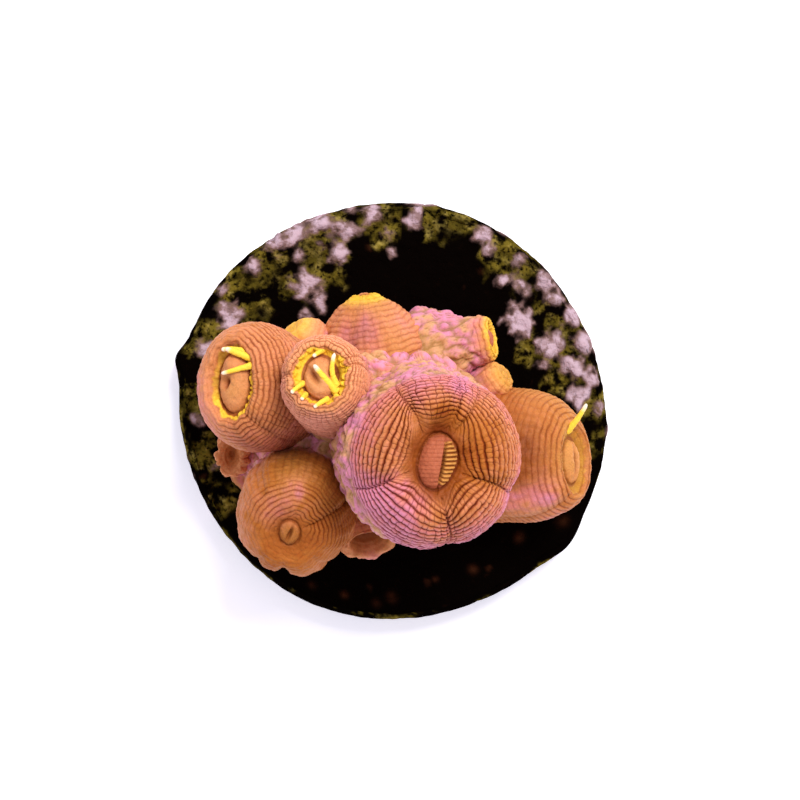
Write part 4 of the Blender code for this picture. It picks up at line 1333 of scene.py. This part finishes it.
class DressDisc(Operator):
    """Grow the crusted surface of the disc"""

    bl_idname = "coral.dress_disc"
    bl_label = "Crusted disc"

    def execute(self, context):
        piece = build_disc(context.scene.collection)
        dress(piece, disc_skin(), "crusted_disc", "frag_disc")
        return {"FINISHED"}


class DressCrust(Operator):
    """Grow the lumpy crust that the polyps share"""

    bl_idname = "coral.dress_crust"
    bl_label = "Shared crust"

    def execute(self, context):
        piece = build_crust(context.scene.collection)
        dress(piece, crust_skin(), "shared_tissue", "colony_base")
        return {"FINISHED"}


class DressPolyps(Operator):
    """Grow the ridged skin of every polyp and bud"""

    bl_idname = "coral.dress_polyps"
    bl_label = "Polyps"

    def execute(self, context):
        skin = polyp_skin()
        for name, polyp in POLYPS.items():
            made = PolypSkin(polyp)
            piece = wrapped(name + "_skin", context.scene.collection, made.grid, made.layers())
            dress(piece, skin, polyp.slot, *((name,) if polyp.solid else ()))
        return {"FINISHED"}


class DressTentacles(Operator):
    """Grow the tentacles of the open polyps"""

    bl_idname = "coral.dress_tentacles"
    bl_label = "Tentacles"

    def execute(self, context):
        skin = tentacle_skin()
        for name in TENTACLES:
            for piece in build_tentacles(context.scene.collection, name, POLYPS[name]):
                dress(piece, skin, "golden_tissue")
        return {"FINISHED"}


def soft_light(name, place, size, power, colour):
    """A round soft light that faces the origin. Place and size are in millimetres."""
    lamp = bpy.data.lights.new(name, "AREA")
    lamp.shape = "DISK"
    lamp.size = size * MM
    lamp.energy = power
    lamp.color = colour
    made = bpy.data.objects.new(name, lamp)
    made.location = Vector(place) * MM
    made.rotation_euler = (-made.location).to_track_quat("-Z", "Y").to_euler()
    bpy.context.scene.collection.objects.link(made)


class SetStage(Operator):
    """Set the floor, the lights and the camera"""

    bl_idname = "coral.set_stage"
    bl_label = "Stage"

    def execute(self, context):
        stage = context.scene.coral_stage
        shape = bmesh.new()
        bmesh.ops.create_circle(shape, cap_ends=True, segments=64, radius=FLOOR_RADIUS)
        mesh = bpy.data.meshes.new("floor")
        shape.to_mesh(mesh)
        shape.free()
        floor = bpy.data.objects.new("floor", mesh)
        context.scene.collection.objects.link(floor)
        paint = Paint("pale floor", 0.7)
        paint.put(paint.surface.inputs["Base Color"], stage.floor_colour)
        paint.surface.inputs["Emission Color"].default_value = FLOOR_GLOW_COLOUR
        paint.surface.inputs["Emission Strength"].default_value = stage.floor_glow
        mesh.materials.append(paint.material)

        soft_light("key light", KEY_PLACE, KEY_WIDTH, stage.key_power, KEY_COLOUR)
        world = bpy.data.worlds.new("studio")
        world.use_nodes = True
        sky = world.node_tree.nodes["Background"]
        sky.inputs["Color"].default_value = SKY_COLOUR
        sky.inputs["Strength"].default_value = stage.fill_strength
        context.scene.world = world
        context.scene.view_settings.view_transform = "Standard"

        lens = bpy.data.cameras.new("camera")
        lens.sensor_width = CAMERA_SENSOR
        lens.lens = CAMERA_LENS
        lens.clip_start = 0.01
        lens.clip_end = 10.0
        camera = bpy.data.objects.new("camera", lens)
        camera.location = Vector(CAMERA_PLACE) * MM
        context.scene.collection.objects.link(camera)
        context.scene.camera = camera
        return {"FINISHED"}


class CoralPanel(Panel):
    """Lists the colony's pieces in the sidebar of the 3D view"""

    bl_label = "Sun coral"
    bl_idname = "VIEW3D_PT_sun_coral"
    bl_space_type = "VIEW_3D"
    bl_region_type = "UI"
    bl_category = "Sun coral"

    def draw(self, context):
        for operator in OPERATORS:
            self.layout.operator(operator.bl_idname)
        for group in ("coral_sizes", "coral_colours", "coral_stage"):
            settings = getattr(context.scene, group)
            for name in settings.__annotations__:
                self.layout.prop(settings, name)


GROUPS = {
    "coral_colours": CoralColours, "coral_sizes": CoralSizes, "coral_stage": StageSettings,
}
OPERATORS = (SetStage, DressDisc, DressCrust, DressPolyps, DressTentacles)


def register():
    for made in (*GROUPS.values(), *OPERATORS, CoralPanel):
        bpy.utils.register_class(made)
    for name, group in GROUPS.items():
        setattr(bpy.types.Scene, name, PointerProperty(type=group))


def unregister():
    for name in GROUPS:
        delattr(bpy.types.Scene, name)
    for made in reversed((*GROUPS.values(), *OPERATORS, CoralPanel)):
        bpy.utils.unregister_class(made)


def main():
    register()
    bpy.ops.coral.set_stage()
    bpy.ops.coral.dress_disc()
    bpy.ops.coral.dress_crust()
    bpy.ops.coral.dress_polyps()
    bpy.ops.coral.dress_tentacles()


if __name__ == "__main__":
    main()
